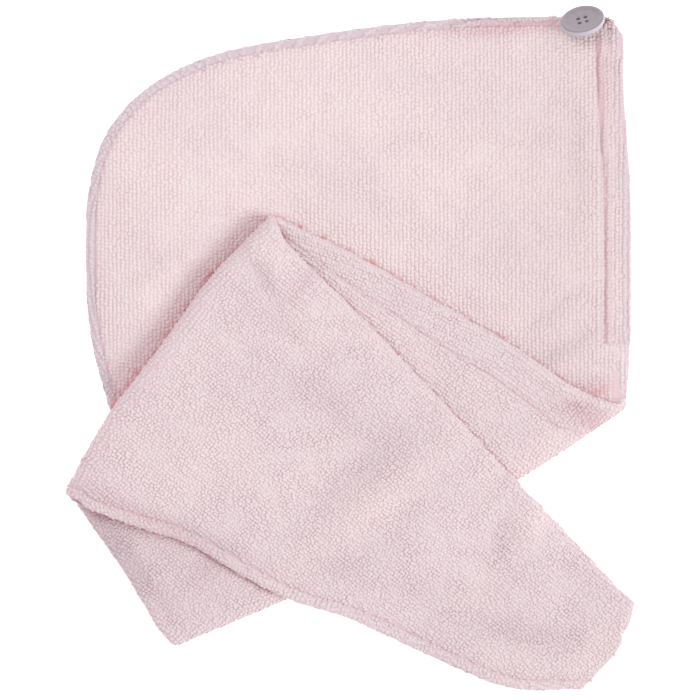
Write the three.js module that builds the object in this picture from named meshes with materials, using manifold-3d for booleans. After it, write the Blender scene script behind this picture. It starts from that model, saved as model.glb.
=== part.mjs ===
// Hair turban towel: a tapering tube of two terry panels, folded twice and laid flat, with a button.
// Millimetres. X runs to the right, Y runs up the towel and Z is up from the surface that it lies on.
import * as THREE from "three";
import { mergeVertices } from "three/addons/utils/BufferGeometryUtils.js";
import Module from "manifold-3d";

const wasm = await Module();
wasm.setup();

// Folded towel, seen from above
const FOLDED_WIDTH = 278;
const FOLDED_LENGTH = 330;

// Terry cloth and how its layers lie on each other
const CLOTH = 1.8;
const PLY_GAP = 0.5;
const STACK_GAP = 1.4;
const SEAM_GAP = 0.3;
const SEAM_FILL = 0.6;

// Hollows inside the tube
const HOOD_HOLLOW = 9;
const TAIL_HOLLOW = 0.8;
const HOOD_SLOPE = 45;
const TAIL_SLOPE = 25;
const FOLD_SLOPE = 35;

// How far the hood is pressed flat under the folded tail
const PRESSED_SHARE = 0.8;
const PRESS_RUN = 60;
const PRESS_LEAD = 40;

// The mouth is open along the hood as far as its last stretch, which starts at this section. There the
// lower panel's edge draws back first, and then the upper panel rolls under it and laps over.
const CLOSING_FROM = 10;
const DRAW_BACK_END = 0.5;
const ROLL_START = 0.06;
const FRONT_ROLL_INSET = 3;

// Where a layer steps down past the edge of the layers below it
const HOOD_STEP_RUN = 45;
const STACK_STEP_RUN = 42;

// The second fold stands open in a soft roll
const ROLL_LOFT = 5;
const ROLL_RUN = 60;

// Seams
const CROWN_SEAM_INSET = 4.6;
const FRONT_SEAM_INSET = 18;
const SEAM_DIP_SHARE = 0.12;
const SEAM_ZONE_MARGIN = 1.6;
const CROWN_ZONE_MOST = 0.68;
const FRONT_ZONE_MOST = 0.2;

// Hem round the open mouth
const HEM_WIDTH = 13;
const HEM_CLOTH = 1.6;
const HEM_GAP = 0.3;
const HEM_CORNER_CLEARANCE = 13;
const HEM_FOLD_CLEARANCE = 33;

// Notch in the tail's end
const NOTCH_SHARE = 0.67;
const NOTCH_DEPTH = 2.4;
const NOTCH_WIDTH = 5;

// Button, sewn to the crown seam beside the mouth
const BUTTON_DIAMETER = 21.6;
const BUTTON_THICKNESS = 3;
const BUTTON_RIM = 2;
const BUTTON_DISH = 0.8;
const BUTTON_ROUND = 0.8;
const BUTTON_TILT_DEG = 50;
const BUTTON_TURN_DEG = 15;
const HOLE_DIAMETER = 1.9;
const HOLE_SPACING = 3.6;
const SHANK_DIAMETER = 2.4;
const SHANK_INSET = 5.5;
const THREAD_GAP = 0.3;
const BUTTON_X_SHARE = 0.904;
const BUTTON_INSET = 2.4;
const BUTTON_HEIGHT = 11.8;

// Sections across the tube. Each goes from the crown seam's edge to the front edge, in shares of
// FOLDED_WIDTH and FOLDED_LENGTH; the bows push it sideways at its quarters, in shares of FOLDED_WIDTH.
// The seam columns are shares of CROWN_SEAM_INSET and FRONT_SEAM_INSET.
const COLUMNS = ["crownX", "crownY", "frontX", "frontY", "bowA", "bowB", "bowC", "crownSeam", "frontSeam"];

// Hood, from the mouth's top corner round the crown to the first fold
const HOOD_ROWS = table([
  [0.945, 1.0, 0.9715, 0.975, 0.0015, 0.004, 0.003, 0.85, 1],
  [0.782, 1.0, 0.974, 0.941, 0, 0, 0, 1, 1],
  [0.617, 0.993, 0.976, 0.889, 0, 0, 0, 1, 1],
  [0.432, 0.973, 0.98, 0.831, 0, 0, 0, 1, 1],
  [0.269, 0.947, 0.985, 0.778, 0, 0, 0, 1, 1],
  [0.154, 0.903, 0.986, 0.742, 0, 0, 0, 1, 1],
  [0.079, 0.841, 0.987, 0.708, 0, 0, 0, 1, 1],
  [0.043, 0.765, 0.988, 0.674, 0, 0, 0, 1, 1],
  [0.033, 0.666, 0.988, 0.634, 0, 0, 0, 1, 1],
  [0.042, 0.529, 0.988, 0.582, -0.002, -0.002, -0.002, 1, 1],
  [0.084, 0.393, 0.987, 0.53, -0.005, -0.006, -0.006, 1, 1],
  [0.135, 0.237, 0.985, 0.479, -0.011, -0.013, -0.013, 1, 1],
  [0.19, 0.07, 0.981, 0.421, -0.018, -0.021, -0.021, 1, 1],
]);

// Middle storey of the tail, from the first fold up to the second
const STRIP_ROWS = table([
  [0.19, 0.07, 0.981, 0.421, -0.018, -0.021, -0.021, 1, 1],
  [0.16, 0.099, 0.889, 0.453, -0.012, -0.014, -0.014, 1, 1],
  [0.119, 0.157, 0.782, 0.514, -0.004, -0.004, -0.004, 1, 1],
  [0.076, 0.212, 0.656, 0.575, 0.004, 0.004, 0.004, 1, 0.92],
  [0.033, 0.262, 0.515, 0.643, 0.01, 0.01, 0.011, 1, 0.73],
  [0.0, 0.302, 0.36, 0.707, 0.018, 0.017, 0.019, 1, 0.35],
]);

// Top storey of the tail, from the second fold down to the tip. Its sixth section lies over the first fold.
const TAIL_ROWS = table([
  [0.0, 0.302, 0.36, 0.707, 0.018, 0.017, 0.019, 1, 0.35],
  [0.044, 0.273, 0.39, 0.661, 0.012, 0.011, 0.012, 1.1, 0.35],
  [0.128, 0.247, 0.462, 0.601, 0.006, 0.005, 0.006, 1.3, 0.35],
  [0.216, 0.222, 0.543, 0.533, 0.002, 0.002, 0.002, 1.3, 0.35],
  [0.304, 0.178, 0.656, 0.433, 0, 0, 0, 1.3, 0.35],
  [0.39, 0.141, 0.787, 0.315, -0.003, -0.004, -0.003, 1.3, 0.35],
  [0.497, 0.111, 0.845, 0.265, -0.002, -0.003, -0.002, 1.3, 0.35],
  [0.62, 0.062, 0.91, 0.207, 0, 0, 0, 1.3, 0.35],
  [0.772, 0.009, 0.963, 0.159, 0, 0, 0, 1.2, 0.35],
  [0.903, 0.006, 0.996, 0.135, -0.01, -0.018, -0.014, 1, 0.35],
]);

// Soft swells of the cloth: where, how long, how wide and how high, with the length turned from the X axis.
// Places and lengths are shares of FOLDED_WIDTH and FOLDED_LENGTH, heights are shares of SWELL_HEIGHT.
const SWELL_HEIGHT = 3.2;
const SWELLS = [
  { layer: "tail", x: 0.37, y: 0.63, long: 0.07, wide: 0.04, turnDeg: -45, high: 0.7 },
  { layer: "tail", x: 0.33, y: 0.36, long: 0.16, wide: 0.07, turnDeg: 60, high: 0.9 },
  { layer: "tail", x: 0.62, y: 0.26, long: 0.15, wide: 0.06, turnDeg: 50, high: 1 },
  { layer: "tail", x: 0.81, y: 0.19, long: 0.11, wide: 0.06, turnDeg: 50, high: 0.8 },
  { layer: "tail", x: 0.52, y: 0.43, long: 0.09, wide: 0.06, turnDeg: -20, high: 0.7 },
  { layer: "tail", x: 0.7, y: 0.07, long: 0.12, wide: 0.04, turnDeg: -25, high: 0.6 },
  { layer: "hood", x: 0.22, y: 0.76, long: 0.14, wide: 0.09, turnDeg: 50, high: 0.8 },
  { layer: "hood", x: 0.1, y: 0.56, long: 0.06, wide: 0.05, turnDeg: 60, high: 0.5 },
  { layer: "hood", x: 0.6, y: 0.8, long: 0.18, wide: 0.1, turnDeg: -20, high: 0.4 },
];

// Fineness of the faceted cloth: from which section on, how many steps are taken up to the next such section
const HOOD_STEPS = [{ from: 0, steps: 3 }, { from: 1, steps: 14 }, { from: 10, steps: 14 }];
const STRIP_STEPS = [{ from: 0, steps: 2 }, { from: 1, steps: 6 }, { from: 4, steps: 2 }];
const TAIL_STEPS = [{ from: 0, steps: 2 }, { from: 1, steps: 6 }, { from: 5, steps: 6 }];
const FOLD_STEPS = 5;
const MAIN_STEPS = 9;
const WRAP_STEPS = 4;
const HEM_STEPS = 2;
const LINE_STEPS = 60;
const BUTTON_SIDES = 32;
const HOLE_SIDES = 10;
const SHANK_SIDES = 16;
const SHANK_STEPS = 4;

// Thickness of a sewn edge, measured from one panel's middle to the other's
const EDGE_RISE = CLOTH + PLY_GAP + SEAM_FILL;
const EDGE_RADIUS = EDGE_RISE / 2;

// Turns rows of numbers into rows with named columns
function table(rows) {
  return rows.map((row) => Object.fromEntries(COLUMNS.map((name, i) => [name, row[i]])));
}

function mix(a, b, share) {
  return a + (b - a) * share;
}

function clamp(value, low, high) {
  return Math.min(high, Math.max(low, value));
}

// Goes from 0 to 1, steep at first and level at its end
function rise(share) {
  return Math.sin((Math.PI / 2) * clamp(share, 0, 1));
}

// Goes from 0 to 1, level at both ends
function ease(share) {
  const t = clamp(share, 0, 1);
  return t * t * (3 - 2 * t);
}

// Smooth curve through the values at whole places 0, 1, 2 and so on
function smooth(values, place) {
  const last = values.length - 1;
  const at = clamp(place, 0, last);
  const i = Math.min(Math.floor(at), last - 1);
  const t = at - i;
  const b = values[i];
  const c = values[i + 1];
  const a = i > 0 ? values[i - 1] : 2 * b - c;
  const d = i + 2 <= last ? values[i + 2] : 2 * c - b;
  const slopeB = (c - a) / 2;
  const slopeC = (d - b) / 2;
  const t2 = t * t;
  const t3 = t2 * t;
  return (2 * t3 - 3 * t2 + 1) * b + (t3 - 2 * t2 + t) * slopeB + (3 * t2 - 2 * t3) * c + (t3 - t2) * slopeC;
}

// A section's point in plan, at a share of the way from the crown edge to the front edge
function sectionPoint(row, share) {
  const crown = new THREE.Vector2(row.crownX * FOLDED_WIDTH, row.crownY * FOLDED_LENGTH);
  const front = new THREE.Vector2(row.frontX * FOLDED_WIDTH, row.frontY * FOLDED_LENGTH);
  const across = front.clone().sub(crown);
  const side = new THREE.Vector2(-across.y, across.x).normalize();
  const bow = smooth([0, row.bowA, row.bowB, row.bowC, 0], 4 * share) * FOLDED_WIDTH;
  return crown.addScaledVector(across, share).addScaledVector(side, bow);
}

// The line along which the tube is folded back, with how open the fold stands
function makeFold(row, loft) {
  const innerRadius = (CLOTH + STACK_GAP + loft) / 2;
  const outerRadius = innerRadius + EDGE_RISE;
  return { row, innerRadius, outerRadius, run: outerRadius + CLOTH / 2 };
}

const FIRST_FOLD = makeFold(HOOD_ROWS.at(-1), 0);
const SECOND_FOLD = makeFold(STRIP_ROWS.at(-1), ROLL_LOFT);

// Unit vector in plan from a fold's edge back over the cloth, at a share along the fold
function foldInward(fold, share, towards) {
  const step = 0.01;
  const along = sectionPoint(fold.row, share + step).sub(sectionPoint(fold.row, share - step)).normalize();
  const inward = new THREE.Vector2(-along.y, along.x);
  return inward.dot(towards) < 0 ? inward.negate() : inward;
}

// A line across the storey where a fold's roll begins, between the fold's edge and the next section
function rollPoint(fold, neighbour, share) {
  const edge = sectionPoint(fold.row, share);
  const back = sectionPoint(neighbour, share).sub(edge);
  const inward = foldInward(fold, share, back);
  return edge.addScaledVector(back, fold.run / back.dot(inward));
}

// A storey is one layer of the flat tube between two folds. Its lines are the functions of its sections.
function makeStorey(rows, foldBefore, foldAfter) {
  const lines = rows.map((row) => (share) => sectionPoint(row, share));
  if (foldBefore) lines[0] = (share) => rollPoint(foldBefore, rows[1], share);
  if (foldAfter) lines[rows.length - 1] = (share) => rollPoint(foldAfter, rows[rows.length - 2], share);
  return { rows, lines };
}

const HOOD = makeStorey(HOOD_ROWS, null, FIRST_FOLD);
const STRIP = makeStorey(STRIP_ROWS, FIRST_FOLD, SECOND_FOLD);
const TAIL = makeStorey(TAIL_ROWS, SECOND_FOLD, null);

// Plan point of a storey at a place along its sections and a share across them
function storeyPoint(storey, place, share) {
  const points = storey.lines.map((line) => line(share));
  return new THREE.Vector2(
    smooth(points.map((point) => point.x), place),
    smooth(points.map((point) => point.y), place),
  );
}

// Edge lines in plan, used to measure how far a point lies inside an outline
function edgeLine(rows, share) {
  const last = rows.length - 1;
  const ends = rows.map((row) => sectionPoint(row, share));
  return Array.from({ length: LINE_STEPS + 1 }, (_, i) => {
    const place = (last * i) / LINE_STEPS;
    return new THREE.Vector2(smooth(ends.map((p) => p.x), place), smooth(ends.map((p) => p.y), place));
  });
}

function foldLine(fold) {
  return Array.from({ length: LINE_STEPS + 1 }, (_, i) => sectionPoint(fold.row, i / LINE_STEPS));
}

const CROWN_LINE = edgeLine(HOOD_ROWS, 0);
const STRIP_FRONT_LINE = edgeLine(STRIP_ROWS, 1);
const TAIL_CROWN_LINE = edgeLine(TAIL_ROWS, 0);
const TAIL_FRONT_LINE = edgeLine(TAIL_ROWS, 1);
const FIRST_FOLD_LINE = foldLine(FIRST_FOLD);
const SECOND_FOLD_LINE = foldLine(SECOND_FOLD);

// Distance from a plan point to a line, positive on the line's left side
function leftOf(x, y, line) {
  let best = Infinity;
  let signed = 0;
  for (let i = 0; i + 1 < line.length; i++) {
    const dx = line[i + 1].x - line[i].x;
    const dy = line[i + 1].y - line[i].y;
    const share = clamp(((x - line[i].x) * dx + (y - line[i].y) * dy) / (dx * dx + dy * dy), 0, 1);
    const offX = x - line[i].x - share * dx;
    const offY = y - line[i].y - share * dy;
    const distance = Math.hypot(offX, offY);
    if (distance < best) {
      best = distance;
      signed = dx * offY - dy * offX < 0 ? -distance : distance;
    }
  }
  return signed;
}

// Height that the swells of one layer add at a plan point
function swellHeight(layer, x, y) {
  let height = 0;
  for (const swell of SWELLS.filter((one) => one.layer === layer)) {
    const turn = THREE.MathUtils.degToRad(swell.turnDeg);
    const dx = x - swell.x * FOLDED_WIDTH;
    const dy = y - swell.y * FOLDED_LENGTH;
    const along = (dx * Math.cos(turn) + dy * Math.sin(turn)) / (swell.long * FOLDED_LENGTH);
    const across = (dy * Math.cos(turn) - dx * Math.sin(turn)) / (swell.wide * FOLDED_WIDTH);
    height += swell.high * SWELL_HEIGHT * Math.exp(-along * along - across * across);
  }
  return height;
}

// Hollow between the hood's two panels, on top of the thickness of a sewn edge
function hoodHollow(x, y) {
  const insideCrown = leftOf(x, y, CROWN_LINE);
  const insideFold = leftOf(x, y, FIRST_FOLD_LINE) - FIRST_FOLD.run;
  const underStrip = Math.min(leftOf(x, y, STRIP_FRONT_LINE), -leftOf(x, y, SECOND_FOLD_LINE));
  const pressed = PRESSED_SHARE * ease((underStrip + PRESS_LEAD) / PRESS_RUN);
  const edges = rise(insideCrown / HOOD_SLOPE) * rise(insideFold / FOLD_SLOPE);
  return edges * (HOOD_HOLLOW + swellHeight("hood", x, y)) * (1 - pressed);
}

// Heights of the middles of the upper and the lower panel, for each storey
function hoodLevels(x, y) {
  const lower = CLOTH / 2;
  return { lower, upper: lower + EDGE_RISE + hoodHollow(x, y) };
}

function stripLevels(x, y) {
  const outside = Math.max(0, -leftOf(x, y, CROWN_LINE));
  const hoodTop = hoodLevels(x, y).upper + CLOTH / 2;
  const base = (hoodTop + STACK_GAP) * (1 - ease(outside / HOOD_STEP_RUN));
  const insideEdges = Math.min(
    leftOf(x, y, FIRST_FOLD_LINE) - FIRST_FOLD.run,
    -leftOf(x, y, SECOND_FOLD_LINE) - SECOND_FOLD.run,
    leftOf(x, y, STRIP_FRONT_LINE),
  );
  const upper = base + CLOTH / 2;
  return { upper, lower: upper + EDGE_RISE + TAIL_HOLLOW * rise(insideEdges / TAIL_SLOPE) };
}

function tailLevels(x, y) {
  const insideFirst = leftOf(x, y, FIRST_FOLD_LINE);
  const insideSecond = -leftOf(x, y, SECOND_FOLD_LINE);
  const stripTop = stripLevels(x, y).lower + CLOTH / 2;
  const roll = ROLL_LOFT * (1 - ease((insideSecond - SECOND_FOLD.run) / ROLL_RUN));
  const base = (stripTop + STACK_GAP + roll) * (1 - ease(-insideFirst / STACK_STEP_RUN));
  const insideEdges = Math.min(
    leftOf(x, y, TAIL_CROWN_LINE),
    -leftOf(x, y, TAIL_FRONT_LINE),
    insideSecond - SECOND_FOLD.run,
  );
  const lower = base + CLOTH / 2;
  const hollow = (TAIL_HOLLOW + swellHeight("tail", x, y)) * rise(insideEdges / TAIL_SLOPE);
  return { lower, upper: lower + EDGE_RISE + hollow };
}

HOOD.levels = hoodLevels;
STRIP.levels = stripLevels;
TAIL.levels = tailLevels;

// How far the front edges are closed at a place along the hood
HOOD.closure = (place) => {
  const closing = (place - CLOSING_FROM) / (HOOD_ROWS.length - 1 - CLOSING_FROM);
  return {
    drawnBack: ease(closing / DRAW_BACK_END),
    lapped: clamp((closing - ROLL_START) / (1 - ROLL_START), 0, 1),
  };
};
STRIP.closure = () => ({ drawnBack: 1, lapped: 1 });
TAIL.closure = () => ({ drawnBack: 1, lapped: 1 });

// Stations are the sections at which the tube is drawn. Each gives a point for a share across the tube
// and a level from 0, on the upper panel, to 1, on the lower panel.
function flatStation(storey, place) {
  const at = (share, level) => {
    const plan = storeyPoint(storey, place, share);
    const { upper, lower } = storey.levels(plan.x, plan.y);
    return new THREE.Vector3(plan.x, plan.y, mix(upper, lower, level));
  };
  const start = storeyPoint(storey, place, 0);
  const end = storeyPoint(storey, place, 1);
  const across = end.clone().sub(start);
  const edgeShare = 1 - FRONT_ROLL_INSET / across.length();
  return {
    at,
    width: across.length(),
    rollRadius: at(edgeShare, 0).distanceTo(at(edgeShare, 1)) / 2,
    crownSine: edgeSine(storey, place, 0, across),
    frontSine: edgeSine(storey, place, 1, across),
    crownSeam: smooth(storey.rows.map((row) => row.crownSeam), place) * CROWN_SEAM_INSET,
    frontSeam: smooth(storey.rows.map((row) => row.frontSeam), place) * FRONT_SEAM_INSET,
    ...storey.closure(place),
  };
}

// Sine of the angle between a section and the edge that it starts or ends on
function edgeSine(storey, place, share, across) {
  const step = 0.05;
  const last = storey.rows.length - 1;
  const before = storeyPoint(storey, Math.max(0, place - step), share);
  const after = storeyPoint(storey, Math.min(last, place + step), share);
  const edge = after.sub(before).normalize();
  return Math.abs(edge.cross(across.clone().normalize()));
}

// Stations round a fold, between the last station of one storey and the first of the next.
// The panel that lies inside the fold turns round the small radius and the other round the large one.
function foldStations(fold, before, after, upperInside) {
  const stations = [];
  for (let i = 1; i < FOLD_STEPS; i++) {
    const turned = i / FOLD_STEPS;
    const angle = Math.PI * turned;
    const side = (share, level, radius) => {
      const a = before.at(share, level);
      const b = after.at(share, level);
      const edge = sectionPoint(fold.row, share);
      const outward = foldInward(fold, share, new THREE.Vector2(a.x - edge.x, a.y - edge.y)).negate();
      const reach = radius * Math.sin(angle);
      return new THREE.Vector3(
        mix(a.x, b.x, turned) + outward.x * reach,
        mix(a.y, b.y, turned) + outward.y * reach,
        mix(a.z, b.z, (1 - Math.cos(angle)) / 2),
      );
    };
    const upperRadius = upperInside ? fold.innerRadius : fold.outerRadius;
    const lowerRadius = upperInside ? fold.outerRadius : fold.innerRadius;
    stations.push({
      at: (share, level) => side(share, 0, upperRadius).lerp(side(share, 1, lowerRadius), level),
      width: mix(before.width, after.width, turned),
      rollRadius: mix(before.rollRadius, after.rollRadius, turned),
      crownSine: mix(before.crownSine, after.crownSine, turned),
      frontSine: mix(before.frontSine, after.frontSine, turned),
      crownSeam: mix(before.crownSeam, after.crownSeam, turned),
      frontSeam: mix(before.frontSeam, after.frontSeam, turned),
      drawnBack: before.drawnBack,
      lapped: before.lapped,
    });
  }
  return stations;
}

function storeyStations(storey, stretches) {
  const last = storey.rows.length - 1;
  const places = stretches.flatMap(({ from, steps }, i) => {
    const to = i + 1 < stretches.length ? stretches[i + 1].from : last;
    return Array.from({ length: steps }, (_, k) => mix(from, to, k / steps));
  });
  return [...places, last].map((place) => flatStation(storey, place));
}

const hoodStations = storeyStations(HOOD, HOOD_STEPS);
const stripStations = storeyStations(STRIP, STRIP_STEPS);
const tailStations = storeyStations(TAIL, TAIL_STEPS);
const STATIONS = [
  ...hoodStations,
  ...foldStations(FIRST_FOLD, hoodStations.at(-1), stripStations[0], true),
  ...stripStations,
  ...foldStations(SECOND_FOLD, stripStations.at(-1), tailStations[0], false),
  ...tailStations,
];

// Columns across a panel. Each is an inset from an edge in millimetres with a level, or a share of the
// main width between the two edge zones.
function zones(station) {
  const crownZone = station.crownSeam + SEAM_ZONE_MARGIN;
  const frontZone = mix(HEM_WIDTH, station.frontSeam, station.drawnBack) + SEAM_ZONE_MARGIN;
  return {
    crown: crownZone,
    front: frontZone,
    crownScale: Math.min(1, (CROWN_ZONE_MOST * station.width * station.crownSine) / crownZone),
    frontScale: Math.min(1, (FRONT_ZONE_MOST * station.width * station.frontSine) / frontZone),
  };
}

function crownShare(station, inset, gap = 0) {
  const { crownScale } = zones(station);
  return (inset * crownScale + gap) / (station.crownSine * station.width);
}

function frontShare(station, inset, gap = 0) {
  const { frontScale } = zones(station);
  return 1 - (inset * frontScale + gap) / (station.frontSine * station.width);
}

// The half round of a sewn edge, as insets with the share of the way from its own panel to the other
function wrapColumns() {
  return Array.from({ length: WRAP_STEPS + 1 }, (_, i) => {
    const angle = (Math.PI * i) / WRAP_STEPS;
    return { inset: CLOTH / 2 + EDGE_RADIUS * (1 - Math.sin(angle)), over: (1 - Math.cos(angle)) / 2 };
  });
}

// The upper panel's front edge: straight while the mouth is open, then rolled round by a growing angle, and
// at last turned right over with a lap that grows to the front seam
function rollColumns(station) {
  const count = WRAP_STEPS + 3;
  if (station.lapped === 0) {
    return Array.from({ length: count }, (_, i) => {
      return { inset: HEM_WIDTH * (1 - (i + 1) / count), over: 0, gap: 0 };
    });
  }
  const turned = clamp(2 * station.lapped, 0, 1);
  const lapping = clamp(2 * station.lapped - 1, 0, 1);
  const angle = Math.PI * turned;
  const full = station.rollRadius;
  const arc = mix(CLOTH / 2 + full, Math.PI * full, turned);
  const radius = arc / angle;
  const lap = lapping * (station.frontSeam - CLOTH / 2 - full);
  const start = (radius + CLOTH / 2) * Math.sin(Math.min(angle, Math.PI / 2));
  return Array.from({ length: count }, (_, i) => {
    const even = (i / (count - 1)) * (arc + lap);
    const sewn = i <= WRAP_STEPS ? (i / WRAP_STEPS) * arc : arc + lap * (i === count - 1 ? 1 : 0.6);
    const along = mix(even, sewn, lapping);
    const at = Math.min(along, arc) / radius;
    const past = Math.max(0, along - arc);
    const ends = i === count - 1;
    return {
      inset: start - radius * Math.sin(at) + past,
      over: Math.min(1, (radius * (1 - Math.cos(at))) / (2 * full)) - (ends ? SEAM_DIP_SHARE * lapping : 0),
      gap: ends ? (-lapping * SEAM_GAP) / 2 : 0,
    };
  });
}

function mainColumns(station, level) {
  const { crown, front } = zones(station);
  const start = crownShare(station, crown);
  const end = frontShare(station, front);
  return Array.from({ length: MAIN_STEPS + 1 }, (_, i) => {
    return { share: mix(start, end, i / MAIN_STEPS), level };
  });
}

// The tail's end narrows at a notch
function notchShift(station, share) {
  const away = ((share - NOTCH_SHARE) * station.width) / (NOTCH_WIDTH / 2);
  return NOTCH_DEPTH * Math.exp(-away * away);
}

// Upper panel: a plain end at the crown seam, and at the front it turns round the edge onto the lower side
function upperColumns(station) {
  const seam = station.crownSeam;
  const crown = [
    { share: crownShare(station, seam, SEAM_GAP / 2), level: SEAM_DIP_SHARE },
    { share: crownShare(station, seam + CLOTH / 2, SEAM_GAP / 2), level: 0 },
  ];
  const front = rollColumns(station).map(({ inset, over, gap }) => ({
    share: frontShare(station, inset, gap),
    level: over,
  }));
  return [...crown, ...mainColumns(station, 0), ...front];
}

// Lower panel: it turns round the crown edge onto the upper side, and has a plain end at the front seam
function lowerColumns(station) {
  const lap = station.crownSeam;
  const wrapped = [
    { inset: lap, over: 1 - SEAM_DIP_SHARE, gap: -SEAM_GAP / 2 },
    { inset: mix(CLOTH / 2 + EDGE_RADIUS, lap, 0.5), over: 1, gap: 0 },
    ...wrapColumns().reverse().map(({ inset, over }) => ({ inset, over, gap: 0 })),
  ];
  const crown = wrapped.map(({ inset, over, gap }) => ({
    share: crownShare(station, inset, gap),
    level: 1 - over,
  }));
  const seam = station.frontSeam;
  const ends = [
    { inset: seam + CLOTH / 2, over: 0, open: HEM_WIDTH / 2 },
    { inset: seam, over: SEAM_DIP_SHARE, open: 0 },
  ];
  const front = ends.map(({ inset, over, open }) => ({
    share: frontShare(station, mix(open, inset, station.drawnBack), (station.drawnBack * SEAM_GAP) / 2),
    level: 1 - over * station.drawnBack,
  }));
  return [...crown, ...mainColumns(station, 1), ...front];
}

// Grid of middle points of a panel: a row for each station, a column for each place across
function panelGrid(columnsOf) {
  return STATIONS.map((station, row) =>
    columnsOf(station).map(({ share, level }) => {
      const point = station.at(share, level);
      const rolling = share > 0.5 && station.lapped > 0 && station.lapped < 0.5;
      if (!rolling) point.through = station.at(share, 0).sub(station.at(share, 1)).normalize();
      if (row === STATIONS.length - 1) closeTip(station, point, share, level);
      return point;
    }),
  );
}

// At the tip both panels bend together until a seam's gap is left between them
function closeTip(station, point, share, level) {
  const spare = (EDGE_RISE - CLOTH - SEAM_GAP) / 2;
  point.z += spare * (2 * level - 1);
  point.x -= notchShift(station, share) * Math.SQRT1_2;
  point.y += notchShift(station, share) * Math.SQRT1_2;
}

// A closed sheet of cloth round a grid of middle points. Its sewn ends are cut straight through the tube.
function sheetGeometry(grid, thickness, mirrored = false) {
  const rows = grid.length;
  const columns = grid[0].length;
  const normalAt = (r, c) => {
    const down = grid[Math.min(r + 1, rows - 1)][c].clone().sub(grid[Math.max(r - 1, 0)][c]);
    const right = grid[r][Math.min(c + 1, columns - 1)].clone().sub(grid[r][Math.max(c - 1, 0)]);
    const normal = right.cross(down).normalize();
    const { through } = grid[r][c];
    if (!through || (c > 0 && c < columns - 1)) return normal;
    return through.clone().multiplyScalar(Math.sign(through.dot(normal)));
  };
  const positions = [];
  for (const side of [1, -1]) {
    for (let r = 0; r < rows; r++) {
      for (let c = 0; c < columns; c++) {
        const point = grid[r][c].clone().addScaledVector(normalAt(r, c), (side * thickness) / 2);
        positions.push(point.x, point.y, point.z);
      }
    }
  }
  const front = (r, c) => r * columns + c;
  const back = (r, c) => (rows + r) * columns + c;
  const faces = [];
  const quad = (a, b, c, d) => (mirrored ? faces.push(a, b, d, b, c, d) : faces.push(a, b, c, a, c, d));
  for (let r = 0; r + 1 < rows; r++) {
    for (let c = 0; c + 1 < columns; c++) {
      quad(front(r, c), front(r, c + 1), front(r + 1, c + 1), front(r + 1, c));
      quad(back(r, c), back(r + 1, c), back(r + 1, c + 1), back(r, c + 1));
    }
  }
  for (let r = 0; r + 1 < rows; r++) {
    quad(front(r, 0), front(r + 1, 0), back(r + 1, 0), back(r, 0));
    quad(front(r + 1, columns - 1), front(r, columns - 1), back(r, columns - 1), back(r + 1, columns - 1));
  }
  for (let c = 0; c + 1 < columns; c++) {
    quad(front(0, c + 1), front(0, c), back(0, c), back(0, c + 1));
    quad(front(rows - 1, c), front(rows - 1, c + 1), back(rows - 1, c + 1), back(rows - 1, c));
  }
  const geometry = new THREE.BufferGeometry();
  geometry.setAttribute("position", new THREE.Float32BufferAttribute(positions, 3));
  geometry.setIndex(faces);
  geometry.computeVertexNormals();
  return geometry;
}

// Hem turned back inside the mouth, a strip that lies against one panel along the rim
function hemGeometry(level) {
  const towards = level === 0 ? -1 : 1;
  const offset = towards * (CLOTH / 2 + HEM_GAP + HEM_CLOTH / 2);
  const rimEnd = hoodStations.at(-1).at(1, 1);
  const fits = hoodStations.filter((station) => {
    const rim = station.at(1, 1);
    const fromCrown = leftOf(rim.x, rim.y, CROWN_LINE);
    return fromCrown > HEM_CORNER_CLEARANCE && rim.y - rimEnd.y > HEM_FOLD_CLEARANCE;
  });
  const grid = fits.map((station) =>
    Array.from({ length: HEM_STEPS + 1 }, (_, i) => {
      const inset = mix(HEM_WIDTH, HEM_GAP, i / HEM_STEPS);
      const point = station.at(frontShare(station, inset), level);
      point.z += offset;
      return point;
    }),
  );
  return sheetGeometry(grid, HEM_CLOTH);
}

// Button: a turned disc with a raised rim and a dished face, with its axis along Z and its middle at 0
function buttonProfile() {
  const radius = BUTTON_DIAMETER / 2;
  const half = BUTTON_THICKNESS / 2;
  const corner = (x, y, from) =>
    [0, 0.5, 1].map((share) => {
      const angle = THREE.MathUtils.degToRad(from + 90 * share);
      return new THREE.Vector2(x + BUTTON_ROUND * Math.cos(angle), y + BUTTON_ROUND * Math.sin(angle));
    });
  return [
    new THREE.Vector2(0, -half),
    ...corner(radius - BUTTON_ROUND, -half + BUTTON_ROUND, -90),
    ...corner(radius - BUTTON_ROUND, half - BUTTON_ROUND, 0),
    new THREE.Vector2(radius - BUTTON_RIM, half - BUTTON_DISH * 0.4),
    new THREE.Vector2(radius - BUTTON_RIM * 1.5, half - BUTTON_DISH),
    new THREE.Vector2(0, half - BUTTON_DISH),
  ];
}

function solidFrom(geometry) {
  const bare = geometry.clone();
  bare.deleteAttribute("normal");
  bare.deleteAttribute("uv");
  const merged = mergeVertices(bare, 1e-4);
  return new wasm.Manifold(
    new wasm.Mesh({
      numProp: 3,
      vertProperties: Float32Array.from(merged.attributes.position.array),
      triVerts: Uint32Array.from(merged.index.array),
    }),
  );
}

function geometryFrom(solid) {
  const mesh = solid.getMesh();
  const geometry = new THREE.BufferGeometry();
  geometry.setAttribute("position", new THREE.Float32BufferAttribute(mesh.vertProperties, 3));
  geometry.setIndex(Array.from(mesh.triVerts));
  return geometry.toNonIndexed();
}

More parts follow.
